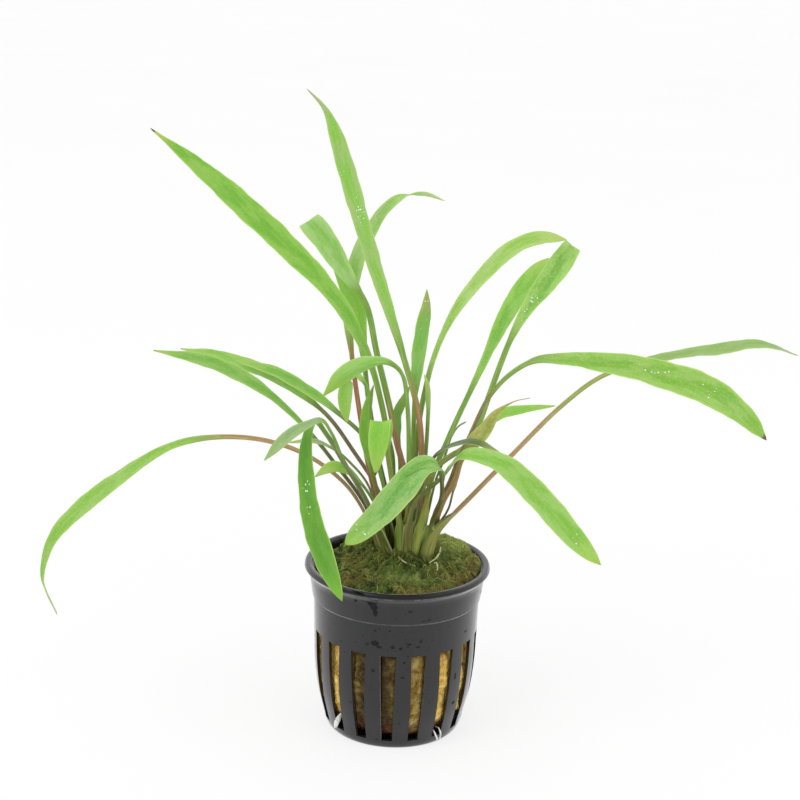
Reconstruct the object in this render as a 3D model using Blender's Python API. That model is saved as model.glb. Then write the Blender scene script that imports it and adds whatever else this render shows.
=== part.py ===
"""Potted cryptocoryne: a rosette of narrow leaves rooted in mineral wool in a slotted pot.

Metres, +Z up. The origin is the centre of the pot's underside, and +X points to the
longest run of leaves. Route points of the leaves are written in millimetres.
"""
import bmesh
import bpy
import numpy as np
from math import cos, pi, radians, sin, tau
from mathutils import Vector

MM = 0.001

# Pot: a thin-walled net pot of the common 5 cm size
RIM_RADIUS = 27.5 * MM
POT_HEIGHT = 51.2 * MM
FOOT_RADIUS = 19.4 * MM
STEP_HEIGHT = 41.3 * MM
WALL = 1.0 * MM
FLOOR = 1.4 * MM
SLOT_COUNT = 17
SLOT_WIDTH_TOP = 4.7 * MM
SLOT_WIDTH_FOOT = 3.2 * MM
SLOT_BOTTOM = 2.8 * MM
SLOT_TOP = 31.2 * MM
SLOT_TURN = radians(-94.3)
POT_SIDES = 48

# Mineral wool plug and the moss that covers it
PLUG_BOTTOM = 3.4 * MM
PLUG_TOP = 43.6 * MM
MOSS_BOTTOM = 44.0 * MM
MOSS_EDGE = 48.6 * MM
CROWN_LEVEL = 53.0 * MM
CROWN_REACH = 10.5 * MM
GROW_SIDES = 24
GAP = 0.3 * MM

# Leaves: a round stalk that flattens into a narrow blade
STALK = 1.8 * MM
BLADE_THICKNESS = 0.5 * MM
BLADE_FOLD = 0.12
SHEATH = 14 * MM
ROOT_SIDES = 5
RING_STEP = 0.009
RING_TURN = radians(24)

GREEN = (0.26, 0.56, 0.07, 1)
PALE = (0.32, 0.55, 0.16, 1)
DARK = (0.10, 0.25, 0.05, 1)
OLIVE = (0.30, 0.34, 0.07, 1)


def clear_scene():
    for old in list(bpy.data.objects):
        bpy.data.objects.remove(old, do_unlink=True)


def material(name, colour, roughness):
    found = bpy.data.materials.get(name)
    if found:
        return found
    made = bpy.data.materials.new(name)
    made.use_nodes = True
    shader = made.node_tree.nodes["Principled BSDF"]
    shader.inputs["Base Color"].default_value = colour
    shader.inputs["Roughness"].default_value = roughness
    shader.inputs["Metallic"].default_value = 0.0
    return made


def add_object(name, mesh_data, finish, smooth=40):
    """Turn a bmesh into a named object with one material."""
    bmesh.ops.recalc_face_normals(mesh_data, faces=mesh_data.faces)
    mesh = bpy.data.meshes.new(name)
    mesh_data.to_mesh(mesh)
    mesh_data.free()
    mesh.shade_smooth()
    mesh.set_sharp_from_angle(angle=radians(smooth))
    mesh.materials.append(finish)
    made = bpy.data.objects.new(name, mesh)
    bpy.context.collection.objects.link(made)
    return made


def bridge(mesh_data, rings, close_ends=True):
    """Skin a list of vertex rings of equal length, and cap both ends."""
    for low, high in zip(rings, rings[1:]):
        for i in range(len(low)):
            j = (i + 1) % len(low)
            mesh_data.faces.new((low[i], low[j], high[j], high[i]))
    if close_ends:
        mesh_data.faces.new(reversed(rings[0]))
        mesh_data.faces.new(rings[-1])


def ring_points(mesh_data, radius_at, height_at, sides):
    made = []
    for k in range(sides):
        angle = tau * k / sides
        radius = radius_at(angle)
        place = (radius * cos(angle), radius * sin(angle), height_at(angle))
        made.append(mesh_data.verts.new(place))
    return made


def pot_profile():
    """Closed wall section as (radius, height), up the outside and down the inside."""
    step = STEP_HEIGHT
    foot = FOOT_RADIUS
    rim = RIM_RADIUS
    top = POT_HEIGHT
    outside = [
        (foot, 0.0),
        (foot + 0.9 * MM, 0.8 * MM),
        (foot + 2.2 * MM, 5.5 * MM),
        (foot + 3.6 * MM, 11.5 * MM),
        (foot + 4.6 * MM, 20.0 * MM),
        (foot + 5.2 * MM, step - 0.5 * MM),
        (foot + 5.7 * MM, step),
        (rim - 1.4 * MM, top - 2.6 * MM),
        (rim - 0.3 * MM, top - 2.2 * MM),
        (rim, top - 1.3 * MM),
        (rim - 0.5 * MM, top - 0.2 * MM),
        (rim - 1.3 * MM, top),
    ]
    inside = [
        (rim - 1.3 * MM - WALL, top - 0.4 * MM),
        (foot + 5.7 * MM - WALL, step),
        (foot + 4.6 * MM - WALL, 20.0 * MM),
        (foot + 2.2 * MM - WALL, 5.5 * MM),
        (foot + 0.6 * MM - WALL, FLOOR),
    ]
    return outside + inside


def slot_cutter():
    """Upright blades in one mesh, narrower at the foot, which open the slots of the pot."""
    cutter = bmesh.new()
    inner = 15 * MM
    outer = 30 * MM
    tall = SLOT_TOP - SLOT_BOTTOM
    for k in range(SLOT_COUNT):
        angle = SLOT_TURN + tau * k / SLOT_COUNT
        made = bmesh.ops.create_cube(cutter, size=1.0)["verts"]
        bmesh.ops.scale(cutter, vec=(outer - inner, SLOT_WIDTH_TOP, tall), verts=made)
        for vert in made:
            if vert.co.z < 0:
                vert.co.y *= SLOT_WIDTH_FOOT / SLOT_WIDTH_TOP
        middle = ((outer + inner) / 2, 0, SLOT_BOTTOM + tall / 2)
        bmesh.ops.translate(cutter, vec=middle, verts=made)
        turn = np.array([[cos(angle), -sin(angle)], [sin(angle), cos(angle)]])
        for vert in made:
            x, y = turn @ np.array(vert.co[:2])
            vert.co = (x, y, vert.co.z)
    made = add_object("slot_cutter", cutter, material("pot_plastic", (0.04, 0.04, 0.045, 1), 0.38))
    made.hide_render = True
    made.display_type = "WIRE"
    return made


def build_pot():
    plastic = material("pot_plastic", (0.04, 0.04, 0.045, 1), 0.38)
    body = bmesh.new()
    rings = [ring_points(body, lambda a, r=r: r, lambda a, z=z: z, POT_SIDES) for r, z in pot_profile()]
    bridge(body, rings, close_ends=False)
    for ring, height in ((rings[0], 0.0), (rings[-1], FLOOR)):
        centre = body.verts.new((0, 0, height))
        for i in range(POT_SIDES):
            body.faces.new((ring[i], ring[(i + 1) % POT_SIDES], centre))
    pot = add_object("pot", body, plastic)
    cut = pot.modifiers.new("slots", "BOOLEAN")
    cut.operation = "DIFFERENCE"
    cut.solver = "EXACT"
    cut.object = slot_cutter()
    return pot


def lump(angle, height, size):
    """Gentle unevenness of pressed wool, up to about size either way."""
    wave = sin(3 * angle + 90 * height) + 0.7 * sin(5 * angle - 170 * height + 1.3)
    return size * (wave + 0.5 * sin(8 * angle + 400 * height + 0.4)) / 2.2


def build_plug():
    """Tapered plug of mineral wool, narrower than the pot, with an uneven surface."""
    wool = material("mineral_wool", (0.32, 0.22, 0.06, 1), 0.95)
    body = bmesh.new()
    shape = [
        (17.2 * MM, PLUG_BOTTOM),
        (18.9 * MM, PLUG_BOTTOM + 1.6 * MM),
        (20.2 * MM, PLUG_BOTTOM + 8 * MM),
        (21.0 * MM, PLUG_BOTTOM + 17 * MM),
        (21.2 * MM, PLUG_TOP - 11 * MM),
        (21.6 * MM, PLUG_TOP),
    ]
    rings = []
    for radius, height in shape:
        size = 0.0 if height in (PLUG_BOTTOM, PLUG_TOP) else 0.6 * MM
        side = lambda a, r=radius, z=height, s=size: r + lump(a, z, s)
        rings.append(ring_points(body, side, lambda a, z=height: z, GROW_SIDES))
    bridge(body, rings)
    return add_object("wool_plug", body, wool, smooth=60)


def moss_height(x, y):
    """Top of the moss: a seat at the crown, a slope round it, low at the pot's wall."""
    away = ((x - 2.4 * MM) ** 2 + (y - 2.5 * MM) ** 2) ** 0.5
    around = (x * x + y * y) ** 0.5
    angle = np.arctan2(y, x)
    mound = 2.4 * MM * (0.5 + 0.5 * cos(angle - radians(38))) ** 3
    uneven = lump(angle, around, 0.6 * MM)
    slope = min(1.0, max(0.0, (away - CROWN_REACH) / (6 * MM)))
    drop = max(0.0, (around - 18 * MM) / (6 * MM))
    top = CROWN_LEVEL - GAP + slope * (mound + uneven - 2.0 * MM)
    return top - drop ** 2 * (top - MOSS_EDGE)


def build_moss():
    """Mossy cushion on the wool, with a flat seat where the leaves come up."""
    green = material("moss", (0.09, 0.11, 0.02, 1), 1.0)
    body = bmesh.new()
    rim = [ring_points(body, lambda a: 23.2 * MM + lump(a, 0, 0.5 * MM), lambda a: MOSS_BOTTOM, GROW_SIDES)]
    for share in (1.0, 0.88, 0.74, 0.58, 0.38):
        reach = lambda a, s=share: s * (24.0 * MM + lump(a, 0, 0.4 * MM))
        ring = ring_points(body, reach, lambda a: 0.0, GROW_SIDES)
        for vert in ring:
            vert.co.z = moss_height(vert.co.x, vert.co.y)
        rim.append(ring)
    bridge(body, rim, close_ends=False)
    body.faces.new(reversed(rim[0]))
    centre = body.verts.new((0, 0, moss_height(0, 0)))
    for i in range(GROW_SIDES):
        body.faces.new((rim[-1][i], rim[-1][(i + 1) % GROW_SIDES], centre))
    return add_object("moss", body, green, smooth=60)


def smooth_route(points, steps=12):
    """Curve through the points (centripetal Catmull-Rom), as a dense array in metres."""
    known = np.array(points, float) * MM
    known = np.vstack([2 * known[0] - known[1], known, 2 * known[-1] - known[-2]])
    dense = []
    for p0, p1, p2, p3 in zip(known, known[1:], known[2:], known[3:]):
        t1 = np.linalg.norm(p1 - p0) ** 0.5
        t2 = t1 + np.linalg.norm(p2 - p1) ** 0.5
        t3 = t2 + np.linalg.norm(p3 - p2) ** 0.5
        for t in np.linspace(t1, t2, steps, endpoint=False):
            a1 = (t1 - t) / t1 * p0 + t / t1 * p1
            a2 = (t2 - t) / (t2 - t1) * p1 + (t - t1) / (t2 - t1) * p2
            a3 = (t3 - t) / (t3 - t2) * p2 + (t - t2) / (t3 - t2) * p3
            b1 = (t2 - t) / t2 * a1 + t / t2 * a2
            b2 = (t3 - t) / (t3 - t1) * a2 + (t - t1) / (t3 - t1) * a3
            dense.append((t2 - t) / (t2 - t1) * b1 + (t - t1) / (t2 - t1) * b2)
    dense.append(known[-2])
    return np.array(dense)


def leaf_stations(dense):
    """Places along the route: close together where it bends, further apart where it is straight."""
    legs = np.diff(dense, axis=0)
    size = np.linalg.norm(legs, axis=1)
    ways = legs / size[:, None]
    turn = np.arccos(np.clip((ways[1:] * ways[:-1]).sum(1), -1, 1))
    effort = size / RING_STEP
    effort[1:] += turn / RING_TURN
    total = np.concatenate([[0], np.cumsum(effort)])
    along = np.concatenate([[0], np.cumsum(size)])
    count = max(6, int(round(total[-1])))
    at = np.interp(np.linspace(0, total[-1], count + 1), total, along)
    return along, at


def route_point(dense, along, place):
    return Vector([np.interp(place, along, dense[:, k]) for k in range(3)])


def route_way(dense, along, place):
    """Direction of the route at a distance from its foot."""
    half = 0.5 * MM
    behind = route_point(dense, along, max(0, place - half))
    return (route_point(dense, along, place + half) - behind).normalized()


def leaf_width(along, length, blade, widths, stalk):
    """Width and thickness of the leaf at a distance from its foot."""
    sheath = max(0.0, 1 - along / SHEATH)
    wide = stalk * (1 + 0.35 * sheath)
    thickness = stalk * 0.9
    inside = (along - (length - blade)) / blade
    if inside > 0:
        wide = np.interp(inside * 100, widths[:, 0], widths[:, 1])
        thickness += (BLADE_THICKNESS - thickness) * min(1.0, inside / 0.18)
    return wide, thickness


def build_leaf(name, route, blade, quarters, across, colour, stalk=STALK, across_tip=None, blunt=None):
    """One leaf as a closed strip, from its route (foot to tip, mm) and its blade's length in mm.

    quarters are the blade's widths in mm at a quarter, half and three quarters of its length, and
    blunt is the width shortly before a rounded tip.
    """
    dense = smooth_route(route)
    along, at = leaf_stations(dense)
    length = at[-1]
    blade *= MM
    outline = [(0, stalk / MM, 0)]
    outline += [(25, quarters[0], 0), (50, quarters[1], 0), (75, quarters[2], 0), (100, 0.2, 0)]
    if blunt:
        outline.insert(4, (93, blunt, 0))
    widths = smooth_route(outline) / MM
    widths[:, 1] *= MM
    body = bmesh.new()
    rings = []
    side_start = Vector(across).normalized()
    side_end = Vector(across_tip or across).normalized()
    middle = side_start.lerp(side_end, 0.5)
    if middle.cross(route_way(dense, along, length - blade / 2)).z < 0:
        side_start.negate()
        side_end.negate()
    for place in at[:-1]:
        here = route_point(dense, along, place)
        way = route_way(dense, along, place) if place > 0 else Vector((0, 0, 1))
        mix = min(1.0, max(0.0, (place - (length - blade)) / blade))
        side = side_start.lerp(side_end, mix)
        side = (side - side.dot(way) * way).normalized()
        face = side.cross(way)
        wide, thick = leaf_width(place, length, blade, widths, stalk)
        fold = BLADE_FOLD * wide if mix > 0 else 0.0
        section = (
            (-0.5, fold / 2, 0), (-0.26, 0, -0.5), (0.26, 0, -0.5),
            (0.5, fold / 2, 0), (0.26, 0, 0.5), (-0.26, 0, 0.5))
        corners = [here + side * wide * u + face * (lift + thick * v) for u, lift, v in section]
        rings.append([body.verts.new(corner) for corner in corners])
    bridge(body, rings, close_ends=False)
    body.faces.new(reversed(rings[0]))
    tip = body.verts.new(Vector(dense[-1]))
    for i in range(6):
        body.faces.new((rings[-1][i], rings[-1][(i + 1) % 6], tip))
    finish = {GREEN: "leaf_green", PALE: "leaf_pale", DARK: "leaf_dark", OLIVE: "leaf_olive"}[colour]
    return add_object("leaf_" + name, body, material(finish, colour, 0.45), smooth=50)


def build_leaves():
    foot = CROWN_LEVEL / MM
    build_leaf("tall", [(5.8, 1.1, foot), (5.5, 1, 92), (-0.5, 5, 113.5), (-5, 8, 125.5),
                        (-12.5, 12, 146.5), (-19, 15, 166.5), (-24.5, 16, 181), (-30, 16, 187)],
               82, (4.4, 5.6, 5.8), (0.7, 0.6, 0.35), GREEN, stalk=1.9 * MM, blunt=1.3)
    build_leaf("upper_left", [(-1.3, 6.2, foot), (-2, 4, 75), (-2.5, 3.5, 82.5), (-4, 3.5, 88.5),
                              (-5.5, 3.5, 96), (-9, 3, 109), (-13, 4, 117.5), (-20, 6, 128.5),
                              (-39.5, 14, 146), (-60.5, 21, 162.5), (-76, 25, 173.5)],
               100, (5, 7.6, 6.4), (0.55, 0.6, 0.6), GREEN, stalk=1.9 * MM)
    build_leaf("folded_top", [(0, 3.8, foot), (1.5, 2, 77), (0, 2.5, 82.5), (-1.5, 3, 87.5),
                              (-3.5, 4, 96.5), (-8, 7, 113), (-11.5, 11, 126), (-18, 14, 135),
                              (-25, 18, 144.5), (-29, 20, 148.5), (-28, 22, 147), (-24.5, 23.5, 141.5)],
               36, (5, 6.8, 6.6), (0.84, 0.2, 0.54), GREEN)
    build_leaf("behind_top", [(0.6, 9.2, foot), (-6.5, 9, 79.5), (-10, 11, 97), (-12, 14, 111),
                              (-14, 18, 121), (-17, 22, 128), (-20, 25, 133), (-23, 28, 138)],
               36, (3.8, 5.8, 4.6), (0.75, 0.5, 0.4), PALE, stalk=1.6 * MM)
    build_leaf("back_twist", [(-2.2, 8.8, foot), (-8.5, 9, 73), (-12, 13, 89), (-15.5, 20, 108),
                              (-17, 26, 120.5), (-15, 30, 135.5), (-11, 33, 144.5), (-7, 35, 150.5),
                              (-2, 36, 154), (4.5, 36.5, 155), (11, 37, 153)],
               66, (4.2, 4.8, 3), (0.95, 0, -0.1), GREEN, stalk=1.5 * MM, across_tip=(0.25, 0.25, -0.9), blunt=1.4)
    build_leaf("small_bent", [(2.6, -1.2, foot), (2.5, -3.5, 80.5), (1.5, -6, 101), (-0.5, -8, 111),
                              (-5, -10, 114.5), (-10.5, -12, 114), (-16, -14, 111.5),
                              (-22.5, -15, 105)],
               24, (4.6, 7.6, 6), (-0.3, -0.6, 0.7), PALE, stalk=1.7 * MM)
    build_leaf("small_hanging", [(-1, 1.1, foot), (-4, -1, 70.5), (-6.5, -1.5, 82), (-9, -2, 92),
                                 (-10, -4, 104), (-13, -7, 109.5), (-15.5, -9, 109.5),
                                 (-16.5, -10, 104.5), (-15.5, -10, 96)],
               21, (4.2, 5, 3.8), (0.2, 0.95, 0), PALE, stalk=1.5 * MM, across_tip=(1, 0.1, 0))
    build_leaf("front_folded", [(0.4, -3.4, foot), (0.5, -3.5, 62), (-1, -4, 71), (-2.5, -5, 78.5),
                                (-4, -8, 88), (-5.5, -10, 95.5), (-6, -12, 97.5), (-6.5, -13, 91.5),
                                (-7, -14, 82)],
               27, (5.4, 6, 4.8), (1, 0.1, -0.05), GREEN, stalk=1.5 * MM)
    build_leaf("dark_centre", [(1.6, 6.4, foot), (0, 6, 77.5), (-1, 9, 89), (-1.5, 10, 93.5),
                               (0.5, 12, 98), (2, 13, 101.5)],
               16, (3, 3.6, 2.6), (0.75, 0.5, -0.4), DARK, stalk=1.3 * MM)
    build_leaf("erect_small", [(3, 3.8, foot), (3.5, 3, 81.5), (3.5, 5, 98), (4, 6, 107.5),
                               (5, 6.5, 118.5), (6, 7, 127.5), (6, 7.5, 132)],
               32, (4, 5, 4.4), (0.85, 0.5, 0), DARK, stalk=1.5 * MM)
    build_leaf("erect_narrow", [(-2.9, 3.3, foot), (-6.5, 3, 70.5), (-9, 3, 80.5), (-11, 3, 89),
                                (-10.5, 4, 96), (-8.5, 4, 104)],
               26, (2.6, 3.6, 3), (0.85, 0.5, 0), GREEN, stalk=1.5 * MM)
    build_leaf("right_arch", [(4.2, 6.6, foot), (4.5, 6, 84), (5.5, 7.5, 95.5), (9, 9.5, 112),
                              (14.5, 12, 124.5), (21, 14, 133.5), (30.5, 16, 143), (38.5, 18, 146),
                              (46.5, 19, 145.5)],
               66, (2, 4, 4.8), (-0.45, 0.5, 0.75), GREEN, stalk=1.7 * MM, blunt=3.4)
    build_leaf("folded_right", [(2.9, 1.2, foot), (3.5, -0.5, 64), (4, -1, 69), (5.5, -2, 73),
                                (7.5, -2, 76.5), (9, -1.5, 79.5), (12, -1, 82.5), (15, 0, 84.5),
                                (18, 1.5, 86), (20.5, 3, 88.5), (23, 6, 93.5), (25, 9, 99),
                                (31.5, 14, 117), (36.5, 17, 126), (44.5, 20, 137), (48.5, 22.5, 143),
                                (48, 24.5, 142), (45, 26, 137)],
               42, (3.8, 6.4, 6.2), (0.82, -0.3, -0.57), GREEN, stalk=1.7 * MM)
    build_leaf("right_neighbour", [(5.2, -4.7, foot), (6, -4.5, 59.5), (7, -3.5, 65.5), (8, -2, 71),
                                   (9, 0, 76), (10.5, 3.5, 80), (13, 6, 85.5), (15.5, 10, 90.5),
                                   (23, 20, 105), (30.5, 27, 120.5), (37, 33, 130), (43.5, 38, 136.5)],
               50, (2.8, 5, 6), (0.75, -0.5, -0.4), GREEN, stalk=1.6 * MM, blunt=3.6)
    build_leaf("big_right", [(8.4, 0.9, foot), (10, 0.5, 64), (12, -0.5, 70.5), (14.5, -1, 77),
                             (16.5, -1.5, 83.5), (19, -2, 89.5), (22, -2.5, 97.5), (24.5, -3, 103),
                             (30, -5, 110.5), (37, -7, 115.5), (44, -8.5, 116.5), (52, -10, 116.5),
                             (70, -13, 114.5), (87.5, -16, 109), (98, -18, 101), (101.5, -18.5, 97.5)],
               73, (5.4, 8.2, 8.8), (0.1, 0.6, 0.8), GREEN, stalk=1.6 * MM, blunt=4.8)
    build_leaf("far_right", [(9.2, -4.6, foot), (11, -3.5, 60.5), (14.5, -1.5, 65), (21, 2.5, 71),
                             (33, 11, 81.5), (48, 17, 96), (60, 22, 104), (77.5, 29, 108),
                             (96, 36, 109.5), (111, 41, 110.5), (124, 45, 106.5)],
               66, (4.4, 6.6, 6.4), (-0.3, 0.85, 0.2), GREEN, stalk=1.7 * MM)
    build_leaf("front_right", [(2.8, -4.2, foot), (4, -7, 71), (7.5, -7.5, 76), (11, -8.5, 79.5),
                               (13, -9.5, 82.5), (15.5, -11, 86.5), (18.5, -13, 89), (28, -17, 88),
                               (39, -21, 79.5), (50, -26, 68.5), (56.5, -29, 63)],
               66, (4.2, 6.8, 7), (0.6, 0.45, 0.65), GREEN, stalk=1.7 * MM, blunt=4.2)
    build_leaf("dark_arching", [(4.8, -1.8, foot), (6, -4, 75), (10, -5, 86), (17, -7.5, 90.5),
                                (22.5, -9.5, 91), (30.5, -11, 87.5)],
               24, (3.2, 4.2, 3.4), (0.1, 0.95, 0.1), DARK, stalk=1.4 * MM)
    build_leaf("front_centre", [(7.2, -2.5, foot), (8.5, -3.5, 59), (10.5, -7.5, 69),
                                (12, -10.5, 74.5), (12, -13, 80), (11, -15, 85.5), (6.5, -17, 86.5),
                                (1, -19, 80.5), (-5.5, -21, 73), (-15, -25, 65)],
               42, (6.4, 8.6, 7), (-0.6, 0.5, 0.6), PALE, stalk=1.5 * MM, blunt=4.4)
    build_leaf("front_left", [(-3.4, -1.6, foot), (-9, -7, 71), (-16, -12, 85), (-21, -17, 95),
                              (-24, -20, 99.5), (-25.5, -21.5, 97.5), (-26, -24, 86.5),
                              (-23, -28, 70.5), (-15, -32, 51)],
               56, (4.4, 6.4, 7.2), (0.9, -0.45, 0.2), GREEN, stalk=1.6 * MM, blunt=3.8)
    build_leaf("small_left", [(-2.2, -3.6, foot), (-9.5, -10, 73.5), (-15.5, -15, 85.5),
                              (-19.5, -21, 97), (-22, -24, 101), (-26, -26, 100), (-31, -27, 97),
                              (-37.5, -28, 90)],
               22, (2.4, 3.6, 3), (-0.5, 0.6, 0.6), PALE, stalk=1.4 * MM)
    build_leaf("far_left", [(-5.3, 1.1, foot), (-10, -1.5, 66.5), (-16.5, -3.5, 76.5), (-29, -6, 86),
                            (-44.5, -10, 91), (-63, -15, 90), (-81, -20, 79), (-96, -24, 65),
                            (-99.5, -26, 53), (-95.5, -27, 42)],
               80, (2.9, 5.2, 3.4), (-0.4, 0.6, 0.65), GREEN, stalk=1.5 * MM)
    build_leaf("left_lower", [(-5.4, 3.7, foot), (-10, 3, 67), (-19.5, 6, 79), (-26.5, 9, 86.5),
                              (-38, 12, 96.5), (-51.5, 16, 103.5), (-64, 19, 106.5),
                              (-75.5, 22, 107.5)],
               60, (2.4, 4.8, 4.6), (0.3, 0.8, 0.5), GREEN, stalk=1.3 * MM)
    build_leaf("left_upper", [(-3.4, 11.4, foot), (-6, 12, 67.5), (-14.5, 16, 80), (-23.5, 21, 90),
                              (-39, 28, 98.5), (-55, 35, 102.5), (-70, 41, 103.5)],
               52, (4, 5, 4.2), (0.3, 0.8, 0.5), GREEN, stalk=1.4 * MM)
    build_leaf("left_overlap", [(-3.6, 6.3, foot), (-4.5, 5, 71.5), (-10.5, 9, 85.5), (-18, 13, 91.5),
                                (-29.5, 19, 98), (-41, 25, 102), (-51.5, 30, 103)],
               40, (3.4, 4, 3.4), (0.3, 0.8, 0.5), GREEN, stalk=1.4 * MM)
    build_leaf("left_twist", [(-3.1, 0.7, foot), (-7, -3, 69.5), (-12, -6, 78), (-15.5, -8, 81.5),
                              (-19, -9.5, 83), (-21.5, -10, 82), (-24.5, -11, 80)],
               18, (2.6, 3.8, 3), (-0.3, 0.6, 0.7), GREEN, stalk=1.2 * MM)
    build_leaf("slender", [(-5, 6.3, foot), (-9, 4, 72.5), (-15, 3, 80.5), (-19.5, 2, 84.5),
                           (-25, 1, 87), (-33, -1, 87)],
               14, (1.6, 2.2, 1.6), (0, 0.9, 0.3), PALE, stalk=1 * MM)
    build_leaf("pale_stalk", [(6.8, 6.4, foot), (7, 3.5, 75.5), (7.5, 3.5, 90), (7.5, 3, 100),
                              (7, 2.5, 105), (6, 2.5, 108)],
               12, (1.5, 1.6, 1.3), (0.9, 0.3, 0), PALE, stalk=1.2 * MM)
    build_leaf("old_olive", [(9.4, -1.6, foot), (11, -1.5, 65), (13, -2.5, 71.5), (16, -3.5, 78),
                             (17.5, -4.5, 84.5), (21, -5, 90.5), (24, -5, 94), (27, -6, 99.5),
                             (31.5, -6.5, 103), (36.5, -7, 104.5)],
               28, (4.4, 3.2, 0.6), (-0.6, 0.3, 0.75), OLIVE, stalk=1.6 * MM)
    build_leaf("old_light", [(8.8, 6.6, foot), (13.5, 7, 68), (16, 8.5, 74), (18.5, 10, 80),
                             (22.5, 13, 85), (29.5, 17, 92), (37, 21, 93), (47, 26, 93)],
               24, (3.2, 2.8, 1.8), (-0.2, 0.6, 0.6), PALE, stalk=1.2 * MM)
    build_leaf("young_hook", [(7, 3.6, foot), (9, 3, 68), (10.5, 2.5, 76), (12, 1.5, 81),
                              (13.5, 1.5, 86.5), (14.5, 2, 89.5), (16.5, 2.5, 92.5), (19, 3, 94)],
               14, (1.8, 1.6, 1.1), (0.2, 0.9, 0.2), DARK, stalk=1.1 * MM)
    build_leaf("dark_stalk", [(10.6, 1.3, foot), (11.5, 1.5, 61), (14.5, 0.5, 68), (15.5, 0, 73),
                              (16.5, -0.5, 77), (17.5, -1, 81.5)],
               8, (1, 1, 0.8), (0.2, 0.9, 0.2), DARK, stalk=1 * MM)


def slot_place(slot, radius, sideways, height):
    """Point in mm: out along a slot's middle, then sideways across it."""
    angle = SLOT_TURN + tau * slot / SLOT_COUNT
    x = radius * cos(angle) - sideways * sin(angle)
    y = radius * sin(angle) + sideways * cos(angle)
    return (x, y, height)


def build_root(name, route, thick):
    """White root as a closed round strand, thinner at both ends."""
    dense = smooth_route(route)
    along, at = leaf_stations(dense)
    body = bmesh.new()
    rings = []
    for place in at:
        way = route_way(dense, along, place)
        side = way.orthogonal().normalized() if not rings else (side - side.dot(way) * way).normalized()
        face = side.cross(way)
        radius = thick / 2 * (0.45 + 0.55 * sin(pi * place / at[-1]) ** 0.5)
        here = route_point(dense, along, place)
        turns = [tau * k / ROOT_SIDES for k in range(ROOT_SIDES)]
        rings.append([body.verts.new(here + (side * cos(t) + face * sin(t)) * radius) for t in turns])
    bridge(body, rings)
    return add_object(name, body, material("root", (0.75, 0.72, 0.62, 1), 0.5))


def build_roots():
    loop = [(19.6, -1, 4.6), (20.9, -1, 4.7), (22.2, -0.8, 3.2), (22.2, 0, 1.7), (22.2, 0.8, 3.4),
            (20.9, 1, 4.9), (19.6, 1, 4.8)]
    build_root("root_loop", [slot_place(2, *place) for place in loop], 0.6 * MM)
    tip = [(20.6, -0.1, 7.6), (21.3, -0.2, 6.9), (22.1, -0.5, 5.4), (22.3, -0.9, 3.4)]
    build_root("root_tip", [slot_place(-2, *place) for place in tip], 1.6 * MM)


def main():
    clear_scene()
    build_pot()
    build_plug()
    build_moss()
    build_leaves()
    build_roots()


main()
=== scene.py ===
"""Looks of the potted cryptocoryne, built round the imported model.

Metres, +Z up, the pot's foot at the origin. Leaf routes are in millimetres, as in the source. Colours are
hexadecimal display values.
"""

from math import cos, pi, radians, sin, sqrt, tau
from types import SimpleNamespace

import bpy
import numpy as np
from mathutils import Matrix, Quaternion, Vector, noise


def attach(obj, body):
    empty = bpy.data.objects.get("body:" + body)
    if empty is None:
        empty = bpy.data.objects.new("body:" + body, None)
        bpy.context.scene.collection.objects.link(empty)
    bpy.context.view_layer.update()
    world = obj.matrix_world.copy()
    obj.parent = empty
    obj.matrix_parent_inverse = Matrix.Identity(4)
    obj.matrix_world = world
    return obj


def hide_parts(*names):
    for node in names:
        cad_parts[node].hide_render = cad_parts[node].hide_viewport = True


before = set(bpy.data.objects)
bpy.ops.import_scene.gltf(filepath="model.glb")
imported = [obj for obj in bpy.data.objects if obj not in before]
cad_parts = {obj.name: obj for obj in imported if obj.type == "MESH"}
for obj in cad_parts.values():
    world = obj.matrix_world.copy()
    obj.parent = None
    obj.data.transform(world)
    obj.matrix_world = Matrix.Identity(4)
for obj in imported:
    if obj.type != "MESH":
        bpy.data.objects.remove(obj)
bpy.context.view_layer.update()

MM = 0.001

# Camera: seen from the front, a little above
LENS = 72
SENSOR = 36
CAMERA_DISTANCE = 461.5 * MM
CAMERA_ELEVATION = radians(15.83)
CAMERA_ROLL = radians(1.8)
CAMERA_TARGET = (-0.74 * MM, 0.0, 100.63 * MM)

# Pot, as in the source
RIM_RADIUS = 27.5 * MM
POT_HEIGHT = 51.2 * MM
FOOT_RADIUS = 19.4 * MM
STEP_HEIGHT = 41.3 * MM
BELOW_STEP = 40.8 * MM
WALL = 1.0 * MM
LIP_EDGE = POT_HEIGHT - 1.3 * MM
FLOOR = 1.4 * MM
SLOT_COUNT = 17
SLOT_WIDTH_TOP = 4.7 * MM
SLOT_WIDTH_FOOT = 3.2 * MM
SLOT_BOTTOM = 2.8 * MM
SLOT_TOP = 31.2 * MM
SLOT_TURN = radians(-94.3)
RIB_COLUMNS = 10
SLOT_COLUMNS = 4
SOFT_EDGE = 0.22 * MM
SMALL_DROPS = 30

# Wool and moss, as in the source
PLUG_BOTTOM = 3.4 * MM
PLUG_TOP = 43.6 * MM
MOSS_BOTTOM = 44.0 * MM
MOSS_EDGE = 48.6 * MM
CROWN_LEVEL = 53.0 * MM
CROWN_REACH = 10.5 * MM
CROWN_CENTRE = (2.4 * MM, 2.5 * MM)
GAP = 0.3 * MM
MOSS_RADIUS = 24.2 * MM
MOSS_LIMIT = 24.85 * MM
WOOL_SWELL = 1.4 * MM
WOOL_FIBRES = 2600
MOSS_STRANDS = 5200
ROUND_CROWN = 5  # every so many strands stands round the crown

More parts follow.
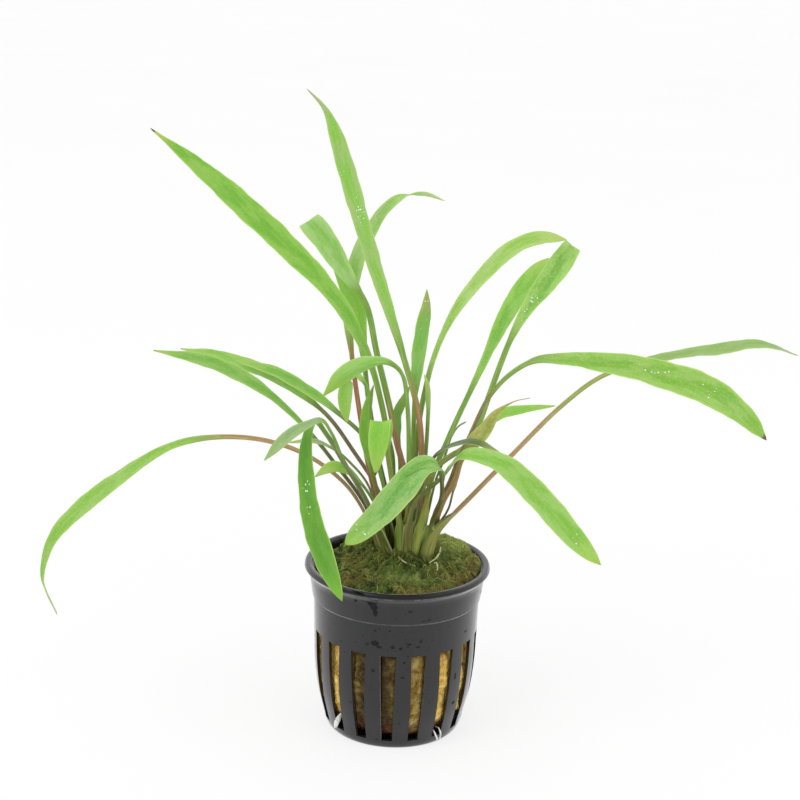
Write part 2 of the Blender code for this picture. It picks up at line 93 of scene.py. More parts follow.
# Leaves: the fold is as in the source, and the other values are detail
FOLD = 0.12
STATION = 0.9 * MM
ROOTED = 1.6 * MM
LAMINA = 0.15 * MM
SHEATH_FADE = 10 * MM
TOP_POINTS = 13
UNDER_POINTS = 11
SHEATH_PALE = "babe7c"
MARGIN = "bacc78"
TIP_BROWN = "5c422c"

# Places across a leaf's section, from -1 to 1: over its upper side and back over its lower side
ACROSS = -np.cos(np.linspace(0, pi, TOP_POINTS))
ACROSS = np.append(ACROSS, np.cos(np.linspace(0, pi, UNDER_POINTS))[1:-1])
UPPER = np.arange(len(ACROSS)) < TOP_POINTS
ROUND = np.sqrt(np.clip(1 - ACROSS ** 2, 0, 1))


def srgb(code, lift=0):
    """Linear colour with alpha, from a display colour with its channels raised by lift of 255."""
    def linear(value):
        value = min(255, value + lift) / 255
        return value / 12.92 if value <= 0.04045 else ((value + 0.055) / 1.055) ** 2.4
    return (*map(linear, bytes.fromhex(code)), 1.0)


class Finish:
    """A material with one Principled shader, and short calls for the nodes that feed it."""

    def __init__(self, name, **fixed):
        self.material = bpy.data.materials.new(name)
        self.material.use_nodes = True
        self.tree = self.material.node_tree
        self.shader = self.tree.nodes["Principled BSDF"]
        self.colour = None
        for socket, value in fixed.items():
            self.shader.inputs[socket.replace("_", " ")].default_value = value

    def put(self, socket, value):
        if hasattr(value, "is_output"):
            self.tree.links.new(value, socket)
        else:
            socket.default_value = srgb(value) if isinstance(value, str) else value

    def node(self, kind, inputs=(), out=0, **settings):
        made = self.tree.nodes.new("ShaderNode" + kind)
        for key, value in settings.items():
            setattr(made, key, value)
        for key, value in dict(inputs).items():
            self.put(made.inputs[key], value)
        return made.outputs[out]

    def attribute(self, name):
        return self.node("Attribute", out="Fac", attribute_name=name)

    def place(self):
        return self.node("TexCoord", out="Object")

    def maths(self, operation, a, b=0.0, c=0.0):
        return self.node("Math", {0: a, 1: b, 2: c}, operation=operation)

    def times(self, a, b):
        return self.maths("MULTIPLY", a, b)

    def apart(self, a, b=0.0):
        """Distance between two values."""
        return self.maths("ABSOLUTE", self.maths("SUBTRACT", a, b))

    def vector(self, x, y, z):
        return self.node("CombineXYZ", {0: x, 1: y, 2: z})

    def cloud(self, vector, scale=1.0, detail=3.0, rough=0.55, distort=0.0, stretch=None):
        if stretch:
            vector = self.node("VectorMath", {0: vector, 1: stretch}, operation="MULTIPLY")
        return self.node("TexNoise", {"Vector": vector, "Scale": scale, "Detail": detail, "Roughness": rough,
                                      "Distortion": distort}, out="Fac")

    def span(self, value, low, high, to_low=0.0, to_high=1.0):
        """Value mapped smoothly from low..high to to_low..to_high, and held there outside."""
        return self.node("MapRange", {"Value": value, "From Min": low, "From Max": high, "To Min": to_low,
                                      "To Max": to_high}, interpolation_type="SMOOTHSTEP")

    def blend(self, share, a, b, mode="MIX"):
        made = self.tree.nodes.new("ShaderNodeMix")
        made.data_type = "RGBA"
        made.blend_type = mode
        for socket, value in ((0, share), (6, a), (7, b)):
            self.put(made.inputs[socket], value)
        return made.outputs[2]

    def over(self, share, colour, mode="MIX"):
        """Lays one more colour over the finish, by share."""
        self.colour = self.blend(share, self.colour, colour, mode)

    def ramp(self, value, *stops):
        made = self.tree.nodes.new("ShaderNodeValToRGB")
        self.put(made.inputs[0], value)
        marks = made.color_ramp.elements
        while len(marks) < len(stops):
            marks.new(0.5)
        for mark, (at, colour) in zip(marks, stops):
            mark.position = at
            mark.color = srgb(colour) if isinstance(colour, str) else colour
        return made.outputs[0]

    def finish(self, roughness=None, height=None, strength=0.5, distance=0.1 * MM):
        self.put(self.shader.inputs["Base Color"], self.colour)
        if roughness is not None:
            self.put(self.shader.inputs["Roughness"], roughness)
        if height is not None:
            bump = self.node("Bump", {"Strength": strength, "Distance": distance, "Height": height},
                             out="Normal")
            self.put(self.shader.inputs["Normal"], bump)
        return self.material


def new_object(name, data):
    made = bpy.data.objects.new(name, data)
    bpy.context.scene.collection.objects.link(made)
    return made


def add_piece(name, verts, faces, materials, replaced, attributes=None, second=None, sharp=45):
    """Mesh object in place of a node, on the part. Faces from second on take the second material."""
    mesh = bpy.data.meshes.new(name)
    mesh.from_pydata([tuple(v) for v in verts], [], [tuple(f) for f in faces])
    for made in materials:
        mesh.materials.append(made)
    if second is not None:
        mesh.polygons.foreach_set("material_index", (np.arange(len(faces)) >= second).astype(int))
    for key, values in (attributes or {}).items():
        layer = mesh.attributes.new(key, "FLOAT", "POINT")
        layer.data.foreach_set("value", np.asarray(values, np.float32))
    mesh.update()
    mesh.shade_smooth()
    mesh.set_sharp_from_angle(angle=radians(sharp))
    made = new_object(name, mesh)
    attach(made, "root")
    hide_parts(replaced)
    return made


def grid_faces(rows, columns, start=0):
    """Quads between closed rows of points laid one after another."""
    made = []
    for r in range(rows - 1):
        a = start + r * columns
        b = a + columns
        made += [(a + c, a + (c + 1) % columns, b + (c + 1) % columns, b + c) for c in range(columns)]
    return made


def join(verts, faces, more, more_faces):
    """Two meshes as one."""
    start = len(verts)
    return np.vstack([verts, more]), faces + [tuple(start + k for k in f) for f in more_faces]


def close_ends(verts, faces, columns, low, high):
    """The skin with a fan to a point of the axis below its first row, and one above its last row."""
    base = len(verts)
    last = base - columns
    for c in range(columns):
        d = (c + 1) % columns
        faces += [(d, c, base), (last + c, last + d, base + 1)]
    return np.vstack([verts, (0, 0, low), (0, 0, high)]), faces


def strands(paths, radius, sides=3):
    """Closed thin strands along paths, an array of (strand, point, xyz)."""
    way = unit(np.gradient(paths, axis=1))
    lead = np.where(np.abs(way[:, :, 2:3]) > 0.9, [[[1.0, 0.0, 0.0]]], [[[0.0, 0.0, 1.0]]])
    side = unit(np.cross(way, lead))
    up = np.cross(side, way)
    count, points = paths.shape[:2]
    taper = np.sin(np.linspace(0.12, 0.88, points) * pi) ** 0.6
    size = np.asarray(radius).reshape(-1, 1, 1) * taper[None, :, None]
    rings = [paths + size * (side * cos(t) + up * sin(t)) for t in (tau * k / sides for k in range(sides))]
    faces = []
    for start in range(0, count * points * sides, points * sides):
        faces += grid_faces(points, sides, start)
        faces.append(tuple(start + k for k in reversed(range(sides))))
        faces.append(tuple(start + (points - 1) * sides + k for k in range(sides)))
    return np.stack(rings, axis=2).reshape(-1, 3), faces


def smooth_route(points, steps=12):
    """Curve through the points (centripetal Catmull-Rom), as a dense array in metres."""
    known = np.array(points, float) * MM
    known = np.vstack([2 * known[0] - known[1], known, 2 * known[-1] - known[-2]])
    dense = []
    for p0, p1, p2, p3 in zip(known, known[1:], known[2:], known[3:]):
        t1 = np.linalg.norm(p1 - p0) ** 0.5
        t2 = t1 + np.linalg.norm(p2 - p1) ** 0.5
        t3 = t2 + np.linalg.norm(p3 - p2) ** 0.5
        for t in np.linspace(t1, t2, steps, endpoint=False):
            a1 = (t1 - t) / t1 * p0 + t / t1 * p1
            a2 = (t2 - t) / (t2 - t1) * p1 + (t - t1) / (t2 - t1) * p2
            a3 = (t3 - t) / (t3 - t2) * p2 + (t - t2) / (t3 - t2) * p3
            b1 = (t2 - t) / t2 * a1 + t / t2 * a2
            b2 = (t3 - t) / (t3 - t1) * a2 + (t - t1) / (t3 - t1) * a3
            dense.append((t2 - t) / (t2 - t1) * b1 + (t - t1) / (t2 - t1) * b2)
    return np.array(dense + [known[-2]])


def follow(dense, spacing):
    """Even stations along a dense route: places, points and directions."""
    legs = np.linalg.norm(np.diff(dense, axis=0), axis=1)
    along = np.concatenate([[0], np.cumsum(legs)])
    at = np.linspace(0, along[-1], max(8, int(along[-1] / spacing)) + 1)
    half = 0.5 * MM
    behind, points, ahead = (np.stack([np.interp(places, along, dense[:, k]) for k in range(3)], axis=1)
                             for places in (at - half, at, at + half))
    way = ahead - behind
    return at, points, way / np.linalg.norm(way, axis=1, keepdims=True)


def unit(vectors):
    return vectors / (np.linalg.norm(vectors, axis=-1, keepdims=True) + 1e-12)


def ease(value):
    """Smooth step from 0 to 1."""
    value = np.clip(value, 0, 1)
    return value * value * (3 - 2 * value)


def wander(at, rng, wave):
    """Slow irregular wave along a leaf, about -1 to 1."""
    parts = ((1.0, 0.6), (0.47, 0.3), (0.23, 0.12))
    return sum(size * np.sin(at / (wave * stretch) * tau + rng.uniform(0, tau)) for stretch, size in parts)


def leaf_finish(name, look):
    """Blade, stalk and sheath in one material, over the leaf's own measures in mm or shares."""
    made = Finish(name, Specular_IOR_Level=0.42, Subsurface_Weight=look.soft,
                  Subsurface_Radius=(0.5, 1, 0.25), Subsurface_Scale=0.8 * MM)
    across, along, low, tip, under, share, wide = (
        made.attribute(key) for key in ("across", "along", "low", "tip", "under", "share", "wide"))
    tone, dull, foot, stem = look.colours.split()
    deep = (*[0.7 * c for c in srgb(tone)[:3]], 1)
    pale = srgb(dull, lift=26)
    # Blade: large drifts, duller towards the margins, faint streaks along the veins and a fine grain
    flat = made.vector(wide, along, under)
    drift = made.cloud(flat, rough=0.6, stretch=(0.26, 0.07, 1))
    streak = made.cloud(flat, stretch=(2.6, 0.22, 1))
    cells = made.cloud(flat, stretch=(1.3, 1.9, 1))
    grain = made.cloud(flat, detail=2, stretch=(4.2, 0.9, 1))
    reach = made.apart(across)
    heart = made.maths("SUBTRACT", drift, made.span(reach, 0.25, 1, 0, 0.1))
    made.colour = made.blend(made.span(heart, 0.38, 0.56), dull, tone)
    made.over(made.span(streak, 0.5, 0.85, 0, 0.8 * look.mottle), deep)
    made.over(made.span(cells, 0.48, 0.78, 0, 0.6 * look.mottle), pale)
    made.over(made.span(grain, 0.45, 0.75, 0, 0.22), pale)
    # Veins: three fine ones on each side and a midrib, then the paler underside and margins
    fine = made.span(made.maths("PINGPONG", made.times(reach, 3.4), 0.5), 0, 0.09, 1, 0)
    made.over(made.times(fine, 0.1), deep)
    made.over(made.span(made.apart(wide), 0.08, 0.34, 0.12, 0), pale)
    made.over(made.times(under, 0.28), pale)
    made.over(made.span(reach, 0.86, 0.98, 0, 0.6), MARGIN)
    # Painted shadow along a crease, which the blade's shape doesn't have
    if look.crease:
        wide_from, along_from, wide_to, along_to = look.crease
        slope = (wide_to - wide_from) / (along_to - along_from)
        off = made.apart(wide, made.maths("MULTIPLY_ADD", along, slope, wide_from - slope * along_from))
        ends = made.times(made.span(along, along_from, along_from + 1.5),
                          made.span(along, along_to - 1.5, along_to, 1, 0))
        made.over(made.times(ends, made.span(off, 0.1, 0.4, 0.7, 0)), deep)
    blade = made.colour
    # Stalk: sheath at the foot, then brown or olive, then green towards the blade
    thread = made.cloud(made.vector(wide, low, under), 1, 4, 0.6, 0.6, stretch=(1.5, 0.13, 1))
    collar = look.collar
    made.colour = made.blend(made.span(low, collar - 5, collar + 3), foot, stem)
    made.over(made.span(low, look.brown_to - 14, look.brown_to + 6), look.upper)
    made.over(made.span(thread, 0.45, 0.75, 0, 0.5), (0.42, 0.42, 0.36, 1), "MULTIPLY")
    made.over(made.span(thread, 0.5, 0.25, 0, 0.45), SHEATH_PALE)
    sheath = made.span(low, collar - 1, collar + 0.5, 1, 0)
    made.over(made.times(sheath, made.span(reach, 0.8, 0.95, 0, 0.7)), look.rim)
    # Darker in the lowest 3.5 mm, where the foot goes into the moss: painted shade
    made.over(made.span(low, 3.5, 0, 0, 0.6), "42461e")
    made.over(made.span(share, 0, look.green_from), blade)
    # Tip: yellower, then dead
    made.over(made.span(tip, 1, 12, 0.6, 0), look.tip_tone)
    if look.tip_dark:
        made.over(made.span(tip, look.tip_dark * 0.5, look.tip_dark, 1, 0), TIP_BROWN)
    height = made.maths("ADD", made.times(fine, -0.35), made.times(cells, 0.5))
    return made.finish(made.span(streak, 0.2, 0.8, 0.34, 0.52), height, 0.35, 0.08 * MM)


def simple_finish(name, scale, low, high, **fixed):
    """One colour drifting to another."""
    made = Finish(name, **fixed)
    made.colour = made.ramp(made.cloud(made.place(), scale), (0.3, low), (0.7, high))
    return made.finish()


def section_heights(share, inside, stalk, width, sheath):
    """Heights of the outline at each station, where the stalk's section turns into the blade's."""
    stem = np.where(UPPER, 0.55, 0.95) * ROUND - UPPER * 0.3 * np.exp(-(ACROSS / 0.3) ** 2)
    stem = 0.45 * stalk * (stem * (1 - sheath) + np.where(UPPER, 0.3, 0.75) * ROUND * sheath)
    rib = np.where(UPPER, -0.1 * (1 - share), 0.45 * (1 - share) ** 1.5 + 0.08)
    blade = LAMINA * ROUND ** 0.5 + rib * MM * np.exp(-(ACROSS * width / 2 / (0.45 * MM)) ** 2)
    return np.where(UPPER, 1, -1) * (stem * (1 - inside) + blade * inside)


LOOK = dict(
    slot="leaf_green", thick=1.8, across_tip=None, blunt=None, upper="7ca240", brown_to=40, rim=SHEATH_PALE,
    collar=12, green_from=0.16, tip_dark=0, tip_tone="acbc5c", mottle=0.5, soft=0.35, ripple=0.28, sheath=1,
    roll=(0, 1, 0), crease=None, drops=())


def leaf(name, foot, route, blade, quarters, across, colours, **given):
    """A leaf with its sheath, stalk, midrib, folded blade and wavy margins, in place of its solid.

    foot is its place in the crown and route its way from there, in mm. blade is the blade's length,
    quarters its width at each quarter, across the way it lies there and across_tip at its tip.
    thick is the stalk's thickness and blunt the width near the tip. colours are the two greens that the
    blade drifts between, the sheath up to collar mm, and the stalk up to brown_to mm, where it turns to
    upper. sheath is how far the stalk widens there, and rim the colour of its edges. tip_dark is the length
    of a dead tip. roll turns the blade by degrees between two shares of its length. crease
    is a painted shadow line along a crease, and drops are clusters of water as (share of the blade,
    spread, count).
    """
    look = SimpleNamespace(**dict(LOOK, colours=colours, **given))
    rng = np.random.default_rng(1 + sum(map(ord, name)))
    dense = smooth_route([(*foot, CROWN_LEVEL / MM), *route])
    at, points, way = follow(dense, STATION)
    length = at[-1]
    blade *= MM
    start = length - blade
    stalk = look.thick * MM
    collar = look.collar * MM
    outline = [(25 * n, width, 0) for n, width in enumerate((look.thick, *quarters, 0.2))]
    if look.blunt:
        outline.insert(4, (93, look.blunt, 0))
    widths = smooth_route(outline) / MM

    def blade_width(share):
        return np.interp(share * 100, widths[:, 0], widths[:, 1]) * MM

    side_start = np.array(Vector(across).normalized())
    side_end = np.array(Vector(look.across_tip or across).normalized())
    half_way = way[np.searchsorted(at, length - blade / 2)]
    if np.cross(side_start + side_end, half_way)[2] < 0:
        side_start, side_end = -side_start, -side_end
    share = np.clip((at - start) / blade, 0, 1)[:, None]
    side = side_start * (1 - share) + side_end * share
    side = unit(side - (side * way).sum(1, keepdims=True) * way)
    # The sheath turns its edges to the middle of the crown
    outward = unit(np.array([foot[0] * MM - CROWN_CENTRE[0], foot[1] * MM - CROWN_CENTRE[1], 0.0]))
    round_crown = unit(np.cross(way, outward))
    round_crown = np.where((round_crown * side).sum(1, keepdims=True) < 0, -round_crown, round_crown)
    clasp = ease(1 - at / (collar + SHEATH_FADE))[:, None]
    side = unit(side * (1 - clasp) + round_crown * clasp)
    face = np.cross(side, way)
    curl = -1 if face[0] @ outward < 0 else 1
    roll_from, roll_to, turn = look.roll
    rolled = radians(turn) * ease((share - roll_from) / (roll_to - roll_from))
    side = side * np.cos(rolled) + face * np.sin(rolled)
    face = np.cross(side, way)
    # Rings of points at each station but the tip, and the first one once more below, in the moss
    left, right, uneven, drift = (wander(at, rng, span * MM)[:, None] for span in (17, 17 * 1.27, 9, 40))
    place = at[:, None]
    inside = ease((place - start) / blade / 0.2)
    sheath = 0.55 / (1 + np.exp((place - collar) / (0.3 * MM))) + 0.45 * clasp
    wide = np.where(share > 0, blade_width(share) * (1 + 0.03 * uneven), stalk * (1 + look.sheath * sheath))
    reach = np.abs(ACROSS)
    bend = FOLD * wide * 0.5 * reach ** 1.3 * inside * (1 + 0.35 * drift)
    wave = np.where(ACROSS > 0, left, right) * reach ** 2.5 * look.ripple * MM * inside
    wave *= np.minimum(1, wide / (4 * MM))
    hug = -curl * 0.3 * wide * reach ** 2 * sheath
    offset = section_heights(share, inside, stalk, wide, sheath) + bend + wave + hug
    rings = side[:, None] * (ACROSS * wide / 2)[..., None] + face[:, None] * offset[..., None]
    again = [0, *range(len(at) - 1)]
    rings = (points[:, None] + rings)[again]
    rings[0, :, 2] -= ROOTED
    rows, size = rings.shape[:2]
    verts = np.vstack([rings.reshape(-1, 3), dense[-1]])
    places = np.append(np.repeat(at[again], size), length)
    fields = {
        "across": np.append(np.tile(ACROSS, rows), 0), "along": (places - start) / MM, "low": places / MM,
        "tip": (length - places) / MM, "under": np.append(np.tile(~UPPER, rows), 0),
        "share": (places - start) / blade, "wide": np.append(ACROSS * wide[again] / 2 / MM, 0)}
    last = (rows - 1) * size
    faces = grid_faces(rows, size) + [tuple(reversed(range(size)))]
    faces += [(last + k, last + (k + 1) % size, last + size) for k in range(size)]
    faces = [f[::-1] for f in faces]
    skin = len(faces)
    # Drops of water on the side that is turned to the front
    drops = []
    for centre, spread, count in look.drops:
        for _ in range(count):
            spot = np.clip(centre + rng.normal(0, spread), 0.02, 0.97)
            n = int(np.searchsorted(at, start + spot * blade)) - 1
            half = blade_width(spot) / 2
            u = np.clip(rng.normal(0, 0.36), -0.8, 0.8)
            up = 1 if face[n][1] < 0 else -1
            where = points[n] + side[n] * u * half + face[n] * (FOLD * half * abs(u) ** 1.3 + up * LAMINA)
            drops.append((where, up * face[n], way[n], rng.uniform(0.09, 0.24) * MM, 1.25))
    if drops:
        verts, faces = join(verts, faces, *water_drops(drops))
        dry = len(places)
        fields = {key: np.append(values, np.zeros(len(verts) - dry)) for key, values in fields.items()}
    add_piece(name + "_leaf", verts, faces, [leaf_finish(name + "_green", look), WATER], "leaf_" + name,
              fields, skin, sharp=60)


def water_drops(places, thickness=None):
    """Flattened drops, each given by its place, the ways up and along, its radius and its stretch along."""
    verts = []
    faces = []
    rings = 3
    sides = 8
    for where, up, along, radius, stretch in places:
        start = len(verts)
        high = thickness or radius * 0.55
        along = along - up * np.dot(along, up)
        along /= np.linalg.norm(along)
        beside = np.cross(up, along)
        for r in range(rings):
            tilt = pi / 2 * r / rings
            for k in range(sides):
                turn = tau * k / sides
                flat = cos(tilt) * radius
                verts.append(where + along * cos(turn) * flat * stretch + beside * sin(turn) * flat
                             + up * (sin(tilt) * high - 0.02 * MM))
        verts.append(where + up * high)
        faces += grid_faces(rings, sides, start)
        top = start + rings * sides
        last = top - sides
        faces += [(last + k, last + (k + 1) % sides, top) for k in range(sides)]
        faces.append(tuple(start + k for k in reversed(range(sides))))
    return np.array(verts), faces


def plastic_finish():
    """Glossy black moulded plastic, with painted highlight lines along the step and the lip's edge, and
    painted shade on the front of the lip's top.
    """
    made = Finish("pot_plastic_fine", Coat_Weight=0.35, Coat_Roughness=0.16, Sheen_Weight=1,
                  Sheen_Roughness=0.26)
    place = made.place()
    height = made.node("SeparateXYZ", {"Vector": place}, out="Z")
    depth = made.node("SeparateXYZ", {"Vector": place}, out="Y")
    grain = made.cloud(place, 2600, 2)
    flow = made.cloud(place, 260, stretch=(1, 1, 0.25))
    marks = made.cloud(place, 420, 3, 0.6)
    made.colour = made.ramp(flow, (0.3, (0.0012, 0.0012, 0.0014, 1)), (0.7, (0.005, 0.0052, 0.006, 1)))
    # Painted highlight: pale lines along the step and the lip's edge
    painted_edge_highlight = made.blend(made.span(marks, 0.35, 0.6), (0.03, 0.03, 0.031, 1), (0.16, 0.16, 0.165, 1))
    for level, half in ((STEP_HEIGHT, 0.2 * MM), (LIP_EDGE, 0.22 * MM)):
        made.over(made.span(made.apart(height, level), 0.3 * half, half, 0.55, 0), painted_edge_highlight)
    # Painted shade: the front of the lip's top is painted near black and given less specular, joined with the
    # dark spots of the marks
    front = made.times(made.span(depth, -25 * MM, -17 * MM, 1, 0),
                       made.span(height, LIP_EDGE + 0.25 * MM, LIP_EDGE + 0.4 * MM))
    dark = made.maths("MAXIMUM", made.span(marks, 0.64, 0.7, 0, 0.7), front)
    made.over(dark, (0.002, 0.002, 0.002, 1))
    made.put(made.shader.inputs["Specular IOR Level"], made.span(dark, 0, 1, 0.4, 0.12))
    relief = made.maths("ADD", made.times(grain, 0.4), flow)
    return made.finish(made.span(flow, 0.3, 0.7, 0.24, 0.36), relief, 0.12, 0.05 * MM)


def wall_radius(height):
    """Outer radius of the pot's wall below the rim."""
    known = [(0, 0), (0.8, 0.9), (5.5, 2.2), (11.5, 3.6), (20, 4.6), (30, 4.95), (BELOW_STEP / MM, 5.2)]
    curve = smooth_route([(h, r, 0) for h, r in known]) / MM
    if height <= BELOW_STEP:
        return FOOT_RADIUS + np.interp(height / MM, curve[:, 0], curve[:, 1]) * MM
    low = FOOT_RADIUS + 5.7 * MM
    high = RIM_RADIUS - 1.4 * MM
    share = (height - STEP_HEIGHT) / (POT_HEIGHT - 2.6 * MM - STEP_HEIGHT)
    return low + (high - low) * min(1.0, max(0.0, share))


def pot_angles(radius, height):
    """Column angles round the pot, which keep each slot's width across the wall at that height."""
    share = np.clip((height - SLOT_BOTTOM) / (SLOT_TOP - SLOT_BOTTOM), 0, 1)
    width = SLOT_WIDTH_FOOT + share * (SLOT_WIDTH_TOP - SLOT_WIDTH_FOOT)
    half = np.arcsin(width / 2 / radius)
    rib = tau / SLOT_COUNT - 2 * half
    made = []
    for k in range(SLOT_COUNT):
        middle = SLOT_TURN + k * tau / SLOT_COUNT
        made += [middle - half + 2 * half * n / SLOT_COLUMNS for n in range(SLOT_COLUMNS)]
        made += [middle + half + rib * n / RIB_COLUMNS for n in range(RIB_COLUMNS)]
    return np.array(made)


# Water on the pot: a run below the lip, then single marks, as (across, height, half width, half height)
WATER_MARKS = [
    (-8.4, 48.7, 2.4, 0.7), (-6.9, 48, 1.6, 1.2), (-6.3, 47, 1.2, 1.5), (-5.9, 45.4, 0.8, 1.8),
    (-11.9, 47.9, 0.6, 0.6), (4.1, 45.8, 0.8, 0.4), (8.1, 42.4, 0.7, 0.25), (9.8, 42.6, 0.7, 0.3),
    (-5.8, 35.1, 1.3, 1), (-4.5, 34, 0.9, 0.5), (-0.6, 34.2, 0.7, 0.6), (1.7, 33.8, 0.6, 0.5),
    (4.1, 35.1, 0.8, 0.4), (6.7, 34.1, 0.8, 0.35), (7.5, 35.7, 0.5, 0.35), (2.8, 29.4, 0.5, 0.4),
    (2.5, 24.7, 0.6, 0.35), (-6.1, 26.4, 0.6, 0.7), (-1.6, 39.3, 0.4, 0.35), (-5.8, 39, 0.4, 0.35),
    (20.2, 22.4, 0.45, 1.7), (20.2, 13.2, 0.8, 0.9), (24.4, 35, 0.9, 0.4), (34.5, 44.6, 0.9, 0.8)]


def fine_pot():
    """The net pot with its rolled rim, step, slots and floor as one closed skin with softened edges."""
    foot = [(-0.5, 0), (0, 0), (0.55, 0.25)]
    below = [0.8, 1.4, 2.1]
    beside = list(np.linspace(SLOT_BOTTOM / MM, SLOT_TOP / MM, 17))
    above = [31.9, 33.5, 36, 38.5, 40.2, 40.8, 41.3, 41.6, 43, 44.8, 46.6, 48.2]
    lip = [(-1.1, -2.5), (-0.7, -2.1), (-0.3, -1.7), (0, -1.3), (-0.1, -0.6), (-0.45, -0.15), (-0.95, 0),
           (-1.5, -0.05), (-2, -0.25), (-2.35, -0.7), (-2.45, -1.4), (-2.5, -2.2)]
    heights = [h * MM for h in below + beside + above]
    rings = [(FOOT_RADIUS + r * MM, h * MM) for r, h in foot] + [(wall_radius(h), h) for h in heights]
    rings += [(RIM_RADIUS + r * MM, POT_HEIGHT + h * MM) for r, h in lip]
    mirror = len(rings) + len(heights) - 1 + len(foot)  # the inner ring of ring n is mirror - n
    rings += [(wall_radius(h) - WALL, h) for h in reversed(heights)] + [(FOOT_RADIUS - 0.6 * MM, FLOOR)]
    first = len(foot) + len(below)
    last = first + len(beside) - 1
    step = SLOT_COLUMNS + RIB_COLUMNS
    columns = SLOT_COUNT * step
    verts = []
    faces = []
    for r, (radius, height) in enumerate(rings):
        angles = pot_angles(radius, height)
        verts += zip(radius * np.cos(angles), radius * np.sin(angles), [height] * columns)
        slotted = first <= r < last or first < mirror - r <= last
        if r < len(rings) - 1:
            row = grid_faces(2, columns, r * columns)
            faces += [quad for c, quad in enumerate(row) if not slotted or c % step >= SLOT_COLUMNS]
    # Edges of the slots: upright sides, sill and head
    for k in range(0, columns, step):
        for c, flip in ((k, False), (k + SLOT_COLUMNS, True)):
            for n in range(first, last):
                a, b, e, f = (ring * columns + c for ring in (n, n + 1, mirror - n, mirror - n - 1))
                faces.append((a, e, f, b) if flip else (a, b, f, e))
        for n, flip in ((first, False), (last, True)):
            for c in range(k, k + SLOT_COLUMNS):
                a, e = n * columns + c, (mirror - n) * columns + c
                faces.append((a, a + 1, e + 1, e) if flip else (a, e, e + 1, a + 1))
    verts, faces = close_ends(verts, faces, columns, 0.0, FLOOR)
    rng = np.random.default_rng(7)
    marks = list(WATER_MARKS)
    for _ in range(SMALL_DROPS):
        size = rng.uniform(0.12, 0.32)
        marks.append((rng.uniform(-16, 14), rng.uniform(30, 40), size, size * rng.uniform(0.6, 1.0)))
    places = []
    for x, z, half_width, half_height in marks:
        radius = wall_radius(z * MM)
        angle = -pi / 2 + x * MM / radius
        up = np.array([cos(angle), sin(angle), 0.0])
        where = up * radius + (0, 0, z * MM)
        places.append((where, up, np.array([0, 0, 1.0]), half_width * MM, half_height / half_width))
    skin = len(faces)
    verts, faces = join(verts, faces, *water_drops(places, thickness=0.05 * MM))
    # Water that lies on the black plastic looks darker than it
    wet = simple_finish("pot_water", 500.0, (0.008, 0.008, 0.008, 1), (0.018, 0.018, 0.019, 1), Roughness=0.3,
                        Specular_IOR_Level=0.12)
    pot = add_piece("net_pot", verts, faces, [plastic_finish(), wet], "pot", second=skin,
                    sharp=35)
    soften(pot, SOFT_EDGE)


def soften(piece, width):
    """Small rounding of sharp edges, applied to the mesh."""
    rounding = piece.modifiers.new("rounding", "BEVEL")
    rounding.width = width
    rounding.segments = 2
    rounding.limit_method = "ANGLE"
    rounding.angle_limit = radians(55)
    rounding.harden_normals = False
    bpy.context.view_layer.update()
    shaped = bpy.data.meshes.new_from_object(piece.evaluated_get(bpy.context.evaluated_depsgraph_get()))
    piece.modifiers.clear()
    old = piece.data
    piece.data = shaped
    bpy.data.meshes.remove(old)


def wool_finish():
    """Wet golden mineral wool, with painted shade in the front slots, and reddish at the foot."""
    made = Finish("mineral_wool_fine", Specular_IOR_Level=0.25)
    place = made.place()
    patch = made.cloud(place, 240, 4, 0.6, 1)
    fibre = made.cloud(place, 700, 4, 0.7, 0.6, stretch=(1, 1, 1.7))
    light = made.attribute("light")
    # A shaded and a lit copy of the wool, blended by the light attribute: painted shade where light is low
    made.colour = made.ramp(patch, (0.34, "140e08"), (0.5, "2e2414"), (0.66, "4e4124"))
    made.over(light, made.ramp(patch, (0.34, "a67a34"), (0.48, "e8c05c"), (0.64, "fee48c")))
    made.over(made.span(fibre, 0.42, 0.75, 0, 0.6), (0.36, 0.32, 0.24, 1), "MULTIPLY")
    made.over(made.times(light, made.span(made.attribute("shade"), 0.55, 1, 0, 0.45)), "ecda9c")
    made.over(made.attribute("red"), "562418")
    return made.finish(made.span(fibre, 0.2, 0.8, 0.6, 0.95), fibre, 0.6, 0.25 * MM)


def rough(spot, octaves=3):
    return noise.fractal(spot, 1.0, 2.0, octaves)


def plug_surface(angle, height):
    """Point on the wool's uneven side, which swells into the slots."""
    known = [(3.4, 17.6), (5, 18.9), (11.4, 20.2), (20.4, 21), (32.6, 21.2), (43.6, 21.6)]
    radius = np.interp(height / MM, [h for h, r in known], [r for h, r in known]) * MM
    spot = Vector((cos(angle), sin(angle), height / (20 * MM)))
    swell = rough(spot * 3.1) * 0.7 * MM + rough(spot * 17) * 0.25 * MM
    pitch = tau / SLOT_COUNT
    off = (angle - SLOT_TURN + pitch / 2) % pitch - pitch / 2
    low = min(6.0, 3.2 + 8.0 * (1 + sin(angle))) * MM
    within = ease((SLOT_TOP + 1.5 * MM - height) / (6 * MM)) * ease((height - low) / (3 * MM))
    radius += swell + WOOL_SWELL * within * ease((0.108 - abs(off)) / 0.028)
    return (radius * cos(angle), radius * sin(angle), height)


def bowed(heading, bow, length, lift):
    """Points of a short bowed fibre: share from -0.5 to 0.5, two offsets and height."""
    for t in np.linspace(-0.5, 0.5, 6):
        turn = heading + bow * t
        yield t, cos(turn) * t * length, sin(turn) * t * length, lift * (1 - 4 * t * t)


